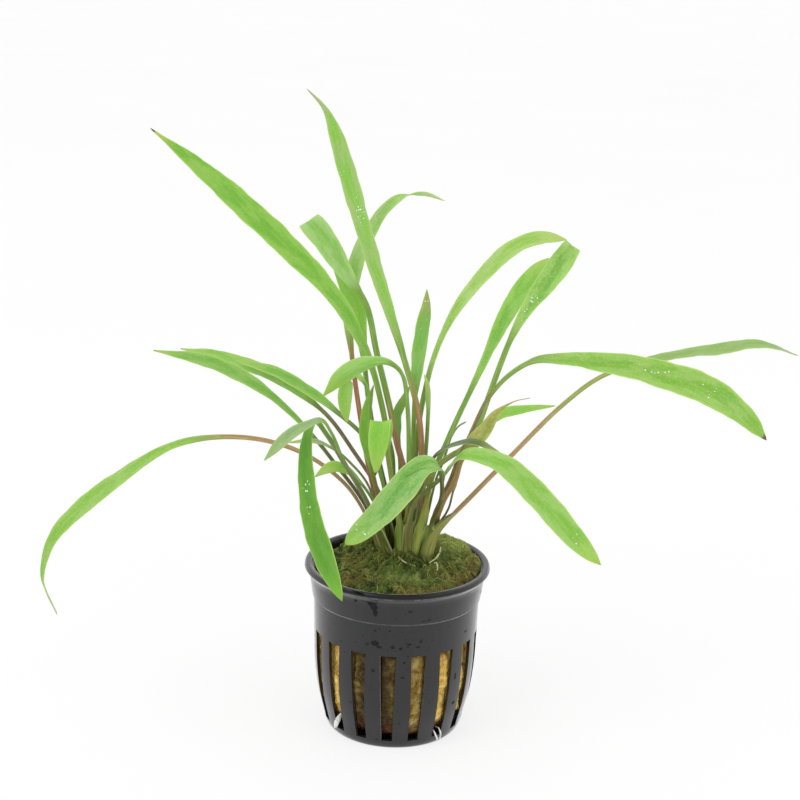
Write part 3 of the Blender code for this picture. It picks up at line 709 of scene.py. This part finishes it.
def fine_wool():
    rng = np.random.default_rng(21)
    columns = 14 * SLOT_COUNT
    heights = np.linspace(PLUG_BOTTOM, PLUG_TOP, 76)
    verts = [plug_surface(SLOT_TURN + tau * c / columns, h) for h in heights for c in range(columns)]
    verts, faces = close_ends(verts, grid_faces(len(heights), columns), columns, PLUG_BOTTOM, PLUG_TOP)
    # Loose fibres where the slots show them
    paths = []
    for n in range(WOOL_FIBRES):
        angle = SLOT_TURN + tau * (n % SLOT_COUNT) / SLOT_COUNT + rng.uniform(-0.15, 0.15)
        height = rng.uniform(PLUG_BOTTOM + 0.4 * MM, SLOT_TOP + 1.5 * MM)
        heading = rng.uniform(0, tau)
        length = rng.uniform(1.6, 5.0) * MM
        bow = rng.normal(0, 0.5)
        for _, sideways, up, rise in bowed(heading, bow, length, rng.uniform(0.05, 0.55) * MM):
            a = angle + sideways / (20 * MM)
            spot = np.array(plug_surface(a, max(PLUG_BOTTOM + 0.2 * MM, height + up)))
            paths.append(spot + np.array([cos(a), sin(a), 0.0]) * (rise - 0.05 * MM))
    paths = np.reshape(paths, (WOOL_FIBRES, -1, 3))
    shade = np.zeros(len(verts))
    verts, faces = join(verts, faces, *strands(paths, rng.uniform(0.04, 0.085, WOOL_FIBRES) * MM))
    shade = np.append(shade, np.repeat(rng.uniform(0, 1, WOOL_FIBRES), paths.shape[1] * 3))
    # Painted shade: darker across the front, most of all left of the middle, and reddish at the foot
    x, y, z = verts.T / MM
    painted_slot_shade = 0.97 * np.exp(-((x + 5.5) / 7.6) ** 4) + 0.55 * np.exp(-((x - 7.0) / 3.6) ** 4)
    light = 1 - np.clip(painted_slot_shade * (y < 0), 0, 1)
    red = ease((9.6 - z) / 3.0) * 0.7
    add_piece("wool_block", verts, faces, [wool_finish()], "wool_plug",
              {"shade": shade, "light": light, "red": red}, sharp=180)


def moss_finish():
    """Damp moss and algae over wool fibre: olive, dark green, tan and yellow-green, with painted shade in its
    hollows.
    """
    made = Finish("moss_fine", Specular_IOR_Level=0.3)
    place = made.place()
    shade = made.attribute("shade")
    patch = made.cloud(place, 120, 4, 0.6, 0.8)
    tuft = made.cloud(place, 480, 4, 0.65)
    made.colour = made.ramp(patch, (0.28, "262c14"), (0.4, "445822"), (0.5, "647e30"), (0.6, "84823e"),
                            (0.72, "9e9250"))
    # Darker where the tuft bump is low and paler where it is high: partly the moss's own mottling, partly
    # painted shade in the hollows and painted highlight on the crests
    made.over(made.span(tuft, 0.48, 0.28, 0, 0.8), (0.25, 0.27, 0.2, 1), "MULTIPLY")
    made.over(made.span(tuft, 0.54, 0.75, 0, 0.55), "b0be5c")
    made.over(made.span(shade, 0.6, 1, 0, 0.7), "b6b268")
    made.over(made.span(shade, 0.3, 0, 0, 0.6), "3e501a")
    # Painted shade in the hollows between the tufts
    made.over(made.span(made.attribute("depth"), 0.5, 0.2, 0, 0.75), "222812")
    made.over(made.attribute("tan"), "967a46")
    made.over(made.times(made.attribute("bright"), made.span(tuft, 0.3, 0.6, 0.5, 1)), "becc70")
    return made.finish(made.span(tuft, 0.3, 0.7, 0.9, 0.6), tuft, 0.7, 0.4 * MM)


def lump(angle, height, size):
    wave = sin(3 * angle + 90 * height) + 0.7 * sin(5 * angle - 170 * height + 1.3)
    return size * (wave + 0.5 * sin(8 * angle + 400 * height + 0.4)) / 2.2


def toward(angle, degrees):
    """How far an angle points that way, from 0 to 1."""
    return max(0.0, cos(angle - radians(degrees)))


def moss_edge(angle):
    """Radius of the cushion, which stands off the wall at the left and nearly meets it at the right."""
    gap = 1.4 * MM * toward(angle, 150) ** 6 - 0.5 * MM * toward(angle, 10) ** 2
    ragged = rough(Vector((cos(angle), sin(angle), 0)) * 7) * 0.4 * MM
    return min(MOSS_LIMIT, MOSS_RADIUS + lump(angle, 0, 0.4 * MM) + ragged - gap)


def moss_top(x, y):
    """Height of the moss with its mounds and tufts."""
    away = sqrt((x - CROWN_CENTRE[0]) ** 2 + (y - CROWN_CENTRE[1]) ** 2)
    around = sqrt(x * x + y * y)
    angle = np.arctan2(y, x)
    mound = 2.4 * MM * (0.5 + 0.5 * cos(angle - radians(38))) ** 3
    slope = min(1.0, max(0.0, (away - CROWN_REACH) / (6 * MM)))
    drop = max(0.0, (around - 18 * MM) / (6 * MM))
    top = CROWN_LEVEL - GAP + slope * (mound + lump(angle, around, 0.6 * MM) - 2.0 * MM)
    top -= drop ** 2 * (top - MOSS_EDGE)
    spot = Vector((x, y, 0)) / MM
    tufts = rough(spot * 0.23, 2) * 1.3 * MM + rough(spot * 0.6) * 0.8 * MM
    edge = 3.0 * MM * min(1.0, drop) * toward(angle, 28) ** 1.5
    seat = (1.1 + 0.9 * noise.noise(spot * 0.45)) * MM * (1 - slope)
    return top + tufts + edge + seat - 0.2 * MM


# A pale curl, a pale thread and a torn sheath edge on the moss, right in front of the crown
SCRAPS = [
    ([(10.6, -9, 54.2), (11.3, -9.1, 54.4), (11.7, -9.3, 53.2), (11.5, -9.6, 51.8),
      (11.1, -9.8, 50.8)], 0.26),
    ([(0.2, -8, 55.4), (1.6, -8.6, 54.4), (3.4, -9.2, 53.7), (5.4, -9.5, 53.3)], 0.2),
    ([(9.2, -7.6, 53.6), (11.2, -6.6, 54.8), (12.2, -6, 56.4), (12.6, -5.6, 58)], 0.26)]


def fine_moss():
    rng = np.random.default_rng(5)
    columns = 200
    edge = [(moss_edge(angle), angle) for angle in (tau * c / columns for c in range(columns))]
    verts = [((r - 0.9 * MM) * cos(angle), (r - 0.9 * MM) * sin(angle), MOSS_BOTTOM) for r, angle in edge]
    shares = np.linspace(1.0, 0.03, 62)
    for share in shares:
        for r, angle in edge:
            x, y = r * share * cos(angle), r * share * sin(angle)
            verts.append((x, y, moss_top(x, y)))
    faces = grid_faces(len(shares) + 1, columns)
    verts, faces = close_ends(verts, faces, columns, MOSS_BOTTOM, moss_top(0, 0))
    crown = np.arange(MOSS_STRANDS) % ROUND_CROWN == 0
    rear = np.where(crown, rng.uniform(0.2, 3.2, MOSS_STRANDS), rng.uniform(0, 0.5, MOSS_STRANDS)) * MM
    paths = []
    for n in range(MOSS_STRANDS):
        radius = 23.6 * MM * sqrt(rng.uniform(0, 1))
        angle = rng.uniform(0, tau)
        x, y = radius * cos(angle), radius * sin(angle)
        if crown[n]:
            radius = CROWN_REACH * rng.uniform(0.55, 1.25)
            x, y = CROWN_CENTRE[0] + radius * cos(angle), CROWN_CENTRE[1] + radius * sin(angle)
        heading = noise.noise(Vector((x, y, 3 * MM)) / (9 * MM)) * tau * 1.4 + rng.normal(0, 0.7)
        length = rng.uniform(1.5, 6.5) * MM
        bow = rng.normal(0, 0.9)
        for t, dx, dy, rise in bowed(heading, bow, length, abs(rng.normal(0, 0.35)) * MM + 0.1 * MM):
            px, py = x + dx, y + dy
            inward = min(1.0, (moss_edge(np.arctan2(py, px)) - 0.1 * MM) / sqrt(px * px + py * py))
            px, py = px * inward, py * inward
            paths.append((px, py, moss_top(px, py) + rise + rear[n] * (t + 0.5) ** 2 - 0.06 * MM))
    paths = np.reshape(paths, (MOSS_STRANDS, -1, 3))
    shade = np.full(len(verts), 0.45)
    verts, faces = join(verts, faces, *strands(paths, rng.uniform(0.05, 0.15, MOSS_STRANDS) * MM))
    shade = np.append(shade, np.repeat(rng.uniform(0, 1, MOSS_STRANDS), paths.shape[1] * 3))
    skin = len(faces)
    for route, thick in SCRAPS:
        line = follow(smooth_route(route), 0.3 * MM)[1]
        verts, faces = join(verts, faces, *strands(line[None], thick * MM, sides=6))
    shade = np.append(shade, np.full(len(verts) - len(shade), 0.5))
    x, y = verts[:, 0] / MM, verts[:, 1] / MM

    def patch(at_x, at_y, half_x, half_y):
        return np.exp(-((x - at_x) / half_x) ** 2 - ((y - at_y) / half_y) ** 2)

    bright = patch(16, 9, 7, 9) + 0.4 * patch(3, -14, 8, 3)
    tan = 0.4 * ease((np.hypot(x, y) - 19.5) / 3) * (x > 0) + 0.5 * patch(-14, -15, 7, 3)
    # From 0 in the hollows between the tufts to 1 on their crests, for the painted shade in the hollows
    depth = [0.5 + 0.8 * rough(Vector((vx, vy, 0)) * 0.6) for vx, vy in zip(x, y)]
    scrap = simple_finish("pale_scrap", 700.0, "baba78", "d8d8a8", Roughness=0.6, Subsurface_Weight=0.2,
                          Subsurface_Radius=(1.0, 0.9, 0.5), Subsurface_Scale=0.5 * MM)
    add_piece("moss_cushion", verts, faces, [moss_finish(), scrap], "moss",
              {"shade": shade, "bright": np.clip(bright, 0, 1), "tan": np.clip(tan, 0, 1),
               "depth": np.clip(depth, 0, 1)}, skin, sharp=180)


def root_finish():
    """White root with faint grey bands."""
    made = Finish("root_fine", Subsurface_Weight=0.4, Subsurface_Radius=(1, 0.9, 0.7),
                  Subsurface_Scale=0.6 * MM, Specular_IOR_Level=0.4)
    band = made.cloud(made.place(), 800, 2)
    made.colour = made.ramp(band, (0.3, "c4c4ba"), (0.7, "ecece4"))
    return made.finish(made.span(band, 0.3, 0.7, 0.35, 0.55), band, 0.2, 0.05 * MM)


def fine_roots():
    """The white roots that hang out of two slots, as (outward, sideways, height) in mm from each slot."""
    finish = root_finish()
    loop = [(19.6, -1, 4.6), (20.9, -1, 4.7), (22.2, -0.8, 3.2), (22.2, 0, 1.7), (22.2, 0.8, 3.4),
            (20.9, 1, 4.9), (19.6, 1, 4.8)]
    tip = [(20.6, -0.1, 7.6), (21.3, -0.2, 6.9), (22.1, -0.5, 5.4), (22.3, -0.9, 3.4)]
    for name, slot, route, thick in (("root_loop", 2, loop, 0.28), ("root_tip", -2, tip, 0.8)):
        angle = SLOT_TURN + tau * slot / SLOT_COUNT
        route = [(r * cos(angle) - s * sin(angle), r * sin(angle) + s * cos(angle), h) for r, s, h in route]
        line = follow(smooth_route(route), 0.15 * MM)[1]
        verts, faces = strands(line[None], thick * MM, sides=10)
        add_piece(name + "_fine", verts, faces, [finish], name)


def studio():
    floor_mesh = bpy.data.meshes.new("floor")
    corners = [(-60, -60, 0), (60, -60, 0), (60, 60, 0), (-60, 60, 0)]
    floor_mesh.from_pydata(corners, [], [(0, 1, 2, 3)])
    floor_mesh.materials.append(simple_finish(
        "floor_paper", 3.0, (0.19, 0.19, 0.19, 1), (0.2, 0.2, 0.2, 1), Roughness=0.9, Specular_IOR_Level=0.1,
        Emission_Color=(1, 1, 1, 1), Emission_Strength=0.76))
    new_object("floor", floor_mesh)
    world = bpy.data.worlds.new("studio")
    world.use_nodes = True
    sky = world.node_tree.nodes["Background"].inputs
    sky["Color"].default_value = (0.985, 0.985, 0.985, 1)
    sky["Strength"].default_value = 1.0
    bpy.context.scene.world = world
    for name, place, size, power in (("key", (-0.9, -0.7, 1.3), 0.9, 7.0),
                                     ("fill", (1.0, -0.5, 0.9), 1.0, 2.5)):
        light = bpy.data.lights.new(name, "AREA")
        light.size = size
        light.energy = power
        lamp = new_object(name, light)
        lamp.location = place
        aim = Vector((0, 0, 0.08)) - lamp.location
        lamp.rotation_euler = aim.to_track_quat("-Z", "Y").to_euler()


def camera():
    lens = bpy.data.cameras.new("camera")
    lens.lens = LENS
    lens.sensor_width = SENSOR
    made = new_object("camera", lens)
    back = Vector((0, -cos(CAMERA_ELEVATION), sin(CAMERA_ELEVATION)))
    made.location = Vector(CAMERA_TARGET) + back * CAMERA_DISTANCE
    made.rotation_mode = "QUATERNION"
    made.rotation_quaternion = (-back).to_track_quat("-Z", "Y") @ Quaternion((0, 0, 1), CAMERA_ROLL)
    bpy.context.scene.camera = made
    bpy.context.scene.view_settings.view_transform = "Standard"


camera()
studio()
fine_pot()
fine_wool()
fine_moss()
fine_roots()

# Tiny water drops, painted near white as a painted glint
WATER = simple_finish("water", 900.0, (0.7, 0.86, 0.62, 1), (1, 1, 1, 1), Roughness=0.04, IOR=1.33,
                      Transmission_Weight=0.1)
leaf("tall", (5.8, 1.1), [(5.5, 1, 92), (-0.5, 5, 113.5), (-5, 8, 125.5), (-12.5, 12, 146.5),
     (-19, 15, 166.5), (-24.5, 16, 181), (-30, 16, 187)], 82, (4.4, 5.6, 5.8), (0.7, 0.6, 0.35),
     "7cb632 96b464 6c6832 a0764c", thick=1.9, blunt=1.3, brown_to=54, tip_tone="a49c78",
     drops=((0.53, 0.03, 16), (0.68, 0.01, 3)))
leaf("upper_left", (-1.3, 6.2), [(-2, 4, 75), (-2.5, 3.5, 82.5), (-4, 3.5, 88.5), (-5.5, 3.5, 96),
     (-9, 3, 109), (-13, 4, 117.5), (-20, 6, 128.5), (-39.5, 14, 146), (-60.5, 21, 162.5),
     (-76, 25, 173.5)], 100, (5, 7.6, 6.4), (0.55, 0.6, 0.6), "68a424 84b044 605c2e 84683e", thick=1.9,
     brown_to=26, tip_dark=2.6, tip_tone="bebe60", ripple=0.4)
leaf("folded_top", (0, 3.8), [(1.5, 2, 77), (0, 2.5, 82.5), (-1.5, 3, 87.5), (-3.5, 4, 96.5), (-8, 7, 113),
     (-11.5, 11, 126), (-18, 14, 135), (-25, 18, 144.5), (-29, 20, 148.5), (-28, 22, 147),
     (-24.5, 23.5, 141.5)], 36, (5, 6.8, 6.6), (0.84, 0.2, 0.54), "80b248 9ec074 645c30 9c7650",
     brown_to=48, tip_tone="96b864", mottle=0.2)
leaf("behind_top", (0.6, 9.2), [(-6.5, 9, 79.5), (-10, 11, 97), (-12, 14, 111), (-14, 18, 121),
     (-17, 22, 128), (-20, 25, 133), (-23, 28, 138)], 36, (3.8, 5.8, 4.6), (0.75, 0.5, 0.4),
     "84b83a 94be50 58602a 687a36", thick=1.6, slot="leaf_pale")
leaf("back_twist", (-2.2, 8.8), [(-8.5, 9, 73), (-12, 13, 89), (-15.5, 20, 108), (-17, 26, 120.5),
     (-15, 30, 135.5), (-11, 33, 144.5), (-7, 35, 150.5), (-2, 36, 154), (4.5, 36.5, 155), (11, 37, 153)],
     66, (4.2, 4.8, 3), (0.95, 0, -0.1), "8eb854 a4c27a 787038 aa7252", thick=1.5,
     across_tip=(0.25, 0.25, -0.9), blunt=1.4, brown_to=66, tip_tone="c4c89e", roll=(0.7, 0.92, 170))
leaf("small_bent", (2.6, -1.2), [(2.5, -3.5, 80.5), (1.5, -6, 101), (-0.5, -8, 111), (-5, -10, 114.5),
     (-10.5, -12, 114), (-16, -14, 111.5), (-22.5, -15, 105)], 24, (4.6, 7.6, 6), (-0.3, -0.6, 0.7),
     "7ab03a 92be5e 767e38 8c9846", thick=1.7, slot="leaf_pale", brown_to=24, tip_tone="a8c250")
leaf("small_hanging", (-1, 1.1), [(-4, -1, 70.5), (-6.5, -1.5, 82), (-9, -2, 92), (-10, -4, 104),
     (-13, -7, 109.5), (-15.5, -9, 109.5), (-16.5, -10, 104.5), (-15.5, -10, 96)], 21, (4.2, 5, 3.8),
     (0.2, 0.95, 0), "82b43c 94bc5c 546028 586a2e", thick=1.5, across_tip=(1, 0.1, 0), slot="leaf_pale",
     brown_to=20, tip_tone="9cbc4c")
leaf("front_folded", (0.4, -3.4), [(0.5, -3.5, 62), (-1, -4, 71), (-2.5, -5, 78.5), (-4, -8, 88),
     (-5.5, -10, 95.5), (-6, -12, 97.5), (-6.5, -13, 91.5), (-7, -14, 82)], 27, (5.4, 6, 4.8),
     (1, 0.1, -0.05), "78b832 8cbe44 84a23e 96a44e", thick=1.5, tip_dark=1.4, sheath=1.7, collar=10)
leaf("dark_centre", (1.6, 6.4), [(0, 6, 77.5), (-1, 9, 89), (-1.5, 10, 93.5), (0.5, 12, 98),
     (2, 13, 101.5)], 16, (3, 3.6, 2.6), (0.75, 0.5, -0.4), "629a32 76a444 505428 5c6c36", thick=1.3,
     slot="leaf_dark", brown_to=20)
leaf("erect_small", (3, 3.8), [(3.5, 3, 81.5), (3.5, 5, 98), (4, 6, 107.5), (5, 6.5, 118.5), (6, 7, 127.5),
     (6, 7.5, 132)], 32, (4, 5, 4.4), (0.85, 0.5, 0), "62a22a 84ae54 54542a 627a3a", thick=1.5,
     slot="leaf_dark", brown_to=20, tip_tone="a09654", drops=((0.86, 0.03, 8), (0.7, 0.05, 5)))
leaf("erect_narrow", (-2.9, 3.3), [(-6.5, 3, 70.5), (-9, 3, 80.5), (-11, 3, 89), (-10.5, 4, 96),
     (-8.5, 4, 104)], 26, (2.6, 3.6, 3), (0.85, 0.5, 0), "7cb434 8cbc48 687030 947c48", thick=1.5,
     brown_to=26)
leaf("right_arch", (4.2, 6.6), [(4.5, 6, 84), (5.5, 7.5, 95.5), (9, 9.5, 112), (14.5, 12, 124.5),
     (21, 14, 133.5), (30.5, 16, 143), (38.5, 18, 146), (46.5, 19, 145.5)], 66, (2, 4, 4.8),
     (-0.45, 0.5, 0.75), "8ab442 a0be6c 5c582e 807842", thick=1.7, blunt=3.4, brown_to=36)
leaf("folded_right", (2.9, 1.2), [(3.5, -0.5, 64), (4, -1, 69), (5.5, -2, 73), (7.5, -2, 76.5),
     (9, -1.5, 79.5), (12, -1, 82.5), (15, 0, 84.5), (18, 1.5, 86), (20.5, 3, 88.5), (23, 6, 93.5),
     (25, 9, 99), (31.5, 14, 117), (36.5, 17, 126), (44.5, 20, 137), (48.5, 22.5, 143), (48, 24.5, 142),
     (45, 26, 137)], 42, (3.8, 6.4, 6.2), (0.82, -0.3, -0.57), "70a636 98be60 7c703c 8e964a", thick=1.7,
     brown_to=42, mottle=1, drops=((0.3, 0.06, 12),))
leaf("right_neighbour", (5.2, -4.7), [(6, -4.5, 59.5), (7, -3.5, 65.5), (8, -2, 71), (9, 0, 76),
     (10.5, 3.5, 80), (13, 6, 85.5), (15.5, 10, 90.5), (23, 20, 105), (30.5, 27, 120.5), (37, 33, 130),
     (43.5, 38, 136.5)], 50, (2.8, 5, 6), (0.75, -0.5, -0.4), "74b032 92bc54 98a444 a09442", thick=1.6,
     blunt=3.6, upper="7aa43a", brown_to=28, mottle=0.7, sheath=1.2, collar=16)
leaf("big_right", (8.4, 0.9), [(10, 0.5, 64), (12, -0.5, 70.5), (14.5, -1, 77), (16.5, -1.5, 83.5),
     (19, -2, 89.5), (22, -2.5, 97.5), (24.5, -3, 103), (30, -5, 110.5), (37, -7, 115.5), (44, -8.5, 116.5),
     (52, -10, 116.5), (70, -13, 114.5), (87.5, -16, 109), (98, -18, 101), (101.5, -18.5, 97.5)], 73,
     (5.4, 8.2, 8.8), (0.1, 0.6, 0.8), "72a62c 90b454 868c40 86724a", thick=1.6, blunt=4.8, brown_to=58,
     tip_dark=2.2, tip_tone="84b02c", ripple=0.36, mottle=0.8, drops=((0.5, 0.06, 9), (0.72, 0.04, 5)))
# far_right's dark rim on its sheath edges is painted shade for the sheath's shaded side
leaf("far_right", (9.2, -4.6), [(11, -3.5, 60.5), (14.5, -1.5, 65), (21, 2.5, 71), (33, 11, 81.5),
     (48, 17, 96), (60, 22, 104), (77.5, 29, 108), (96, 36, 109.5), (111, 41, 110.5), (124, 45, 106.5)], 66,
     (4.4, 6.6, 6.4), (-0.3, 0.85, 0.2), "7ea244 8aaa5e 8e923e b29262", thick=1.7, upper="98a054",
     rim="545c22", brown_to=62, tip_dark=1.2, tip_tone="94a67c", sheath=2.3, collar=15.5)
leaf("front_right", (2.8, -4.2), [(4, -7, 71), (7.5, -7.5, 76), (11, -8.5, 79.5), (13, -9.5, 82.5),
     (15.5, -11, 86.5), (18.5, -13, 89), (28, -17, 88), (39, -21, 79.5), (50, -26, 68.5), (56.5, -29, 63)],
     66, (4.2, 6.8, 7), (0.6, 0.45, 0.65), "78ae32 92b85c 74743a 707438", thick=1.7, blunt=4.2,
     upper="62782c", brown_to=30, green_from=0.22, tip_tone="a0be48", drops=((0.84, 0.02, 5),))
leaf("dark_arching", (4.8, -1.8), [(6, -4, 75), (10, -5, 86), (17, -7.5, 90.5), (22.5, -9.5, 91),
     (30.5, -11, 87.5)], 24, (3.2, 4.2, 3.4), (0.1, 0.95, 0.1), "44602a 627244 58542c 5c6434", thick=1.4,
     slot="leaf_dark", brown_to=50)
leaf("front_centre", (7.2, -2.5), [(8.5, -3.5, 59), (10.5, -7.5, 69), (12, -10.5, 74.5), (12, -13, 80),
     (11, -15, 85.5), (6.5, -17, 86.5), (1, -19, 80.5), (-5.5, -21, 73), (-15, -25, 65)], 42, (6.4, 8.6, 7),
     (-0.6, 0.5, 0.6), "609c34 8ab25c 7a8e3a 605e2e", thick=1.5, blunt=4.4, slot="leaf_pale", brown_to=60,
     tip_tone="9ec44c", mottle=0.9, collar=13, sheath=1.5, crease=(-1.5, 9, 1.8, 17),
     drops=((0.86, 0.015, 7),))
leaf("front_left", (-3.4, -1.6), [(-9, -7, 71), (-16, -12, 85), (-21, -17, 95), (-24, -20, 99.5),
     (-25.5, -21.5, 97.5), (-26, -24, 86.5), (-23, -28, 70.5), (-15, -32, 51)], 56, (4.4, 6.4, 7.2),
     (0.9, -0.45, 0.2), "529218 649a28 686e32 788248", thick=1.6, blunt=3.8, brown_to=50, tip_tone="84b836",
     mottle=0.4, drops=((0.41, 0.02, 7), (0.53, 0.015, 4)))
leaf("small_left", (-2.2, -3.6), [(-9.5, -10, 73.5), (-15.5, -15, 85.5), (-19.5, -21, 97), (-22, -24, 101),
     (-26, -26, 100), (-31, -27, 97), (-37.5, -28, 90)], 22, (2.4, 3.6, 3), (-0.5, 0.6, 0.6),
     "769854 8ca66c 606830 68703c", thick=1.4, slot="leaf_pale", brown_to=44, tip_tone="96b46c")
leaf("far_left", (-5.3, 1.1), [(-10, -1.5, 66.5), (-16.5, -3.5, 76.5), (-29, -6, 86), (-44.5, -10, 91),
     (-63, -15, 90), (-81, -20, 79), (-96, -24, 65), (-99.5, -26, 53), (-95.5, -27, 42)], 80,
     (2.9, 5.2, 3.4), (-0.4, 0.6, 0.65), "7aae32 8eb252 7a763a aa8c5e", thick=1.5, brown_to=72,
     tip_tone="b0ac94")
leaf("left_lower", (-5.4, 3.7), [(-10, 3, 67), (-19.5, 6, 79), (-26.5, 9, 86.5), (-38, 12, 96.5),
     (-51.5, 16, 103.5), (-64, 19, 106.5), (-75.5, 22, 107.5)], 60, (2.4, 4.8, 4.6), (0.3, 0.8, 0.5),
     "6ca236 86ae54 54562a 625a34", thick=1.3, upper="686c3a", brown_to=28, tip_dark=1.2)
leaf("left_upper", (-3.4, 11.4), [(-6, 12, 67.5), (-14.5, 16, 80), (-23.5, 21, 90), (-39, 28, 98.5),
     (-55, 35, 102.5), (-70, 41, 103.5)], 52, (4, 5, 4.2), (0.3, 0.8, 0.5), "7eb03e 92ba58 58542c 706846",
     thick=1.4, brown_to=52, tip_dark=1)
leaf("left_overlap", (-3.6, 6.3), [(-4.5, 5, 71.5), (-10.5, 9, 85.5), (-18, 13, 91.5), (-29.5, 19, 98),
     (-41, 25, 102), (-51.5, 30, 103)], 40, (3.4, 4, 3.4), (0.3, 0.8, 0.5), "70a836 8ab654 585c2c 6c743c",
     thick=1.4, upper="6e8846")
leaf("left_twist", (-3.1, 0.7), [(-7, -3, 69.5), (-12, -6, 78), (-15.5, -8, 81.5), (-19, -9.5, 83),
     (-21.5, -10, 82), (-24.5, -11, 80)], 18, (2.6, 3.8, 3), (-0.3, 0.6, 0.7),
     "7ab432 8cba48 687430 708a38", thick=1.2, brown_to=22)
leaf("slender", (-5, 6.3), [(-9, 4, 72.5), (-15, 3, 80.5), (-19.5, 2, 84.5), (-25, 1, 87), (-33, -1, 87)],
     14, (1.6, 2.2, 1.6), (0, 0.9, 0.3), "809a60 8ca470 606432 84905c", thick=1, slot="leaf_pale",
     sheath=0.5)
leaf("pale_stalk", (6.8, 6.4), [(7, 3.5, 75.5), (7.5, 3.5, 90), (7.5, 3, 100), (7, 2.5, 105),
     (6, 2.5, 108)], 12, (1.5, 1.6, 1.3), (0.9, 0.3, 0), "86a654 8eaa5e 646832 7e964e", thick=1.2,
     slot="leaf_pale", sheath=0.5)
leaf("old_olive", (9.4, -1.6), [(11, -1.5, 65), (13, -2.5, 71.5), (16, -3.5, 78), (17.5, -4.5, 84.5),
     (21, -5, 90.5), (24, -5, 94), (27, -6, 99.5), (31.5, -6.5, 103), (36.5, -7, 104.5)], 28,
     (4.4, 3.2, 0.6), (-0.6, 0.3, 0.75), "8a942c acac62 686432 a28650", thick=1.6, slot="leaf_olive",
     brown_to=44, tip_tone="a4866c", mottle=1.2, soft=0.2)
leaf("old_light", (8.8, 6.6), [(13.5, 7, 68), (16, 8.5, 74), (18.5, 10, 80), (22.5, 13, 85), (29.5, 17, 92),
     (37, 21, 93), (47, 26, 93)], 24, (3.2, 2.8, 1.8), (-0.2, 0.6, 0.6), "7eba38 92be4e 646030 927c4c",
     thick=1.2, slot="leaf_pale", sheath=0.5)
leaf("young_hook", (7, 3.6), [(9, 3, 68), (10.5, 2.5, 76), (12, 1.5, 81), (13.5, 1.5, 86.5),
     (14.5, 2, 89.5), (16.5, 2.5, 92.5), (19, 3, 94)], 14, (1.8, 1.6, 1.1), (0.2, 0.9, 0.2),
     "68943e 74984e 5c642c 688c3a", thick=1.1, slot="leaf_dark", upper="6e963e", tip_tone="565c4e",
     sheath=0.5)
leaf("dark_stalk", (10.6, 1.3), [(11.5, 1.5, 61), (14.5, 0.5, 68), (15.5, 0, 73), (16.5, -0.5, 77),
     (17.5, -1, 81.5)], 8, (1, 1, 0.8), (0.2, 0.9, 0.2), "62643e 706e48 54542e 6c684e", thick=1,
     slot="leaf_dark", upper="6c684e", sheath=0.5)
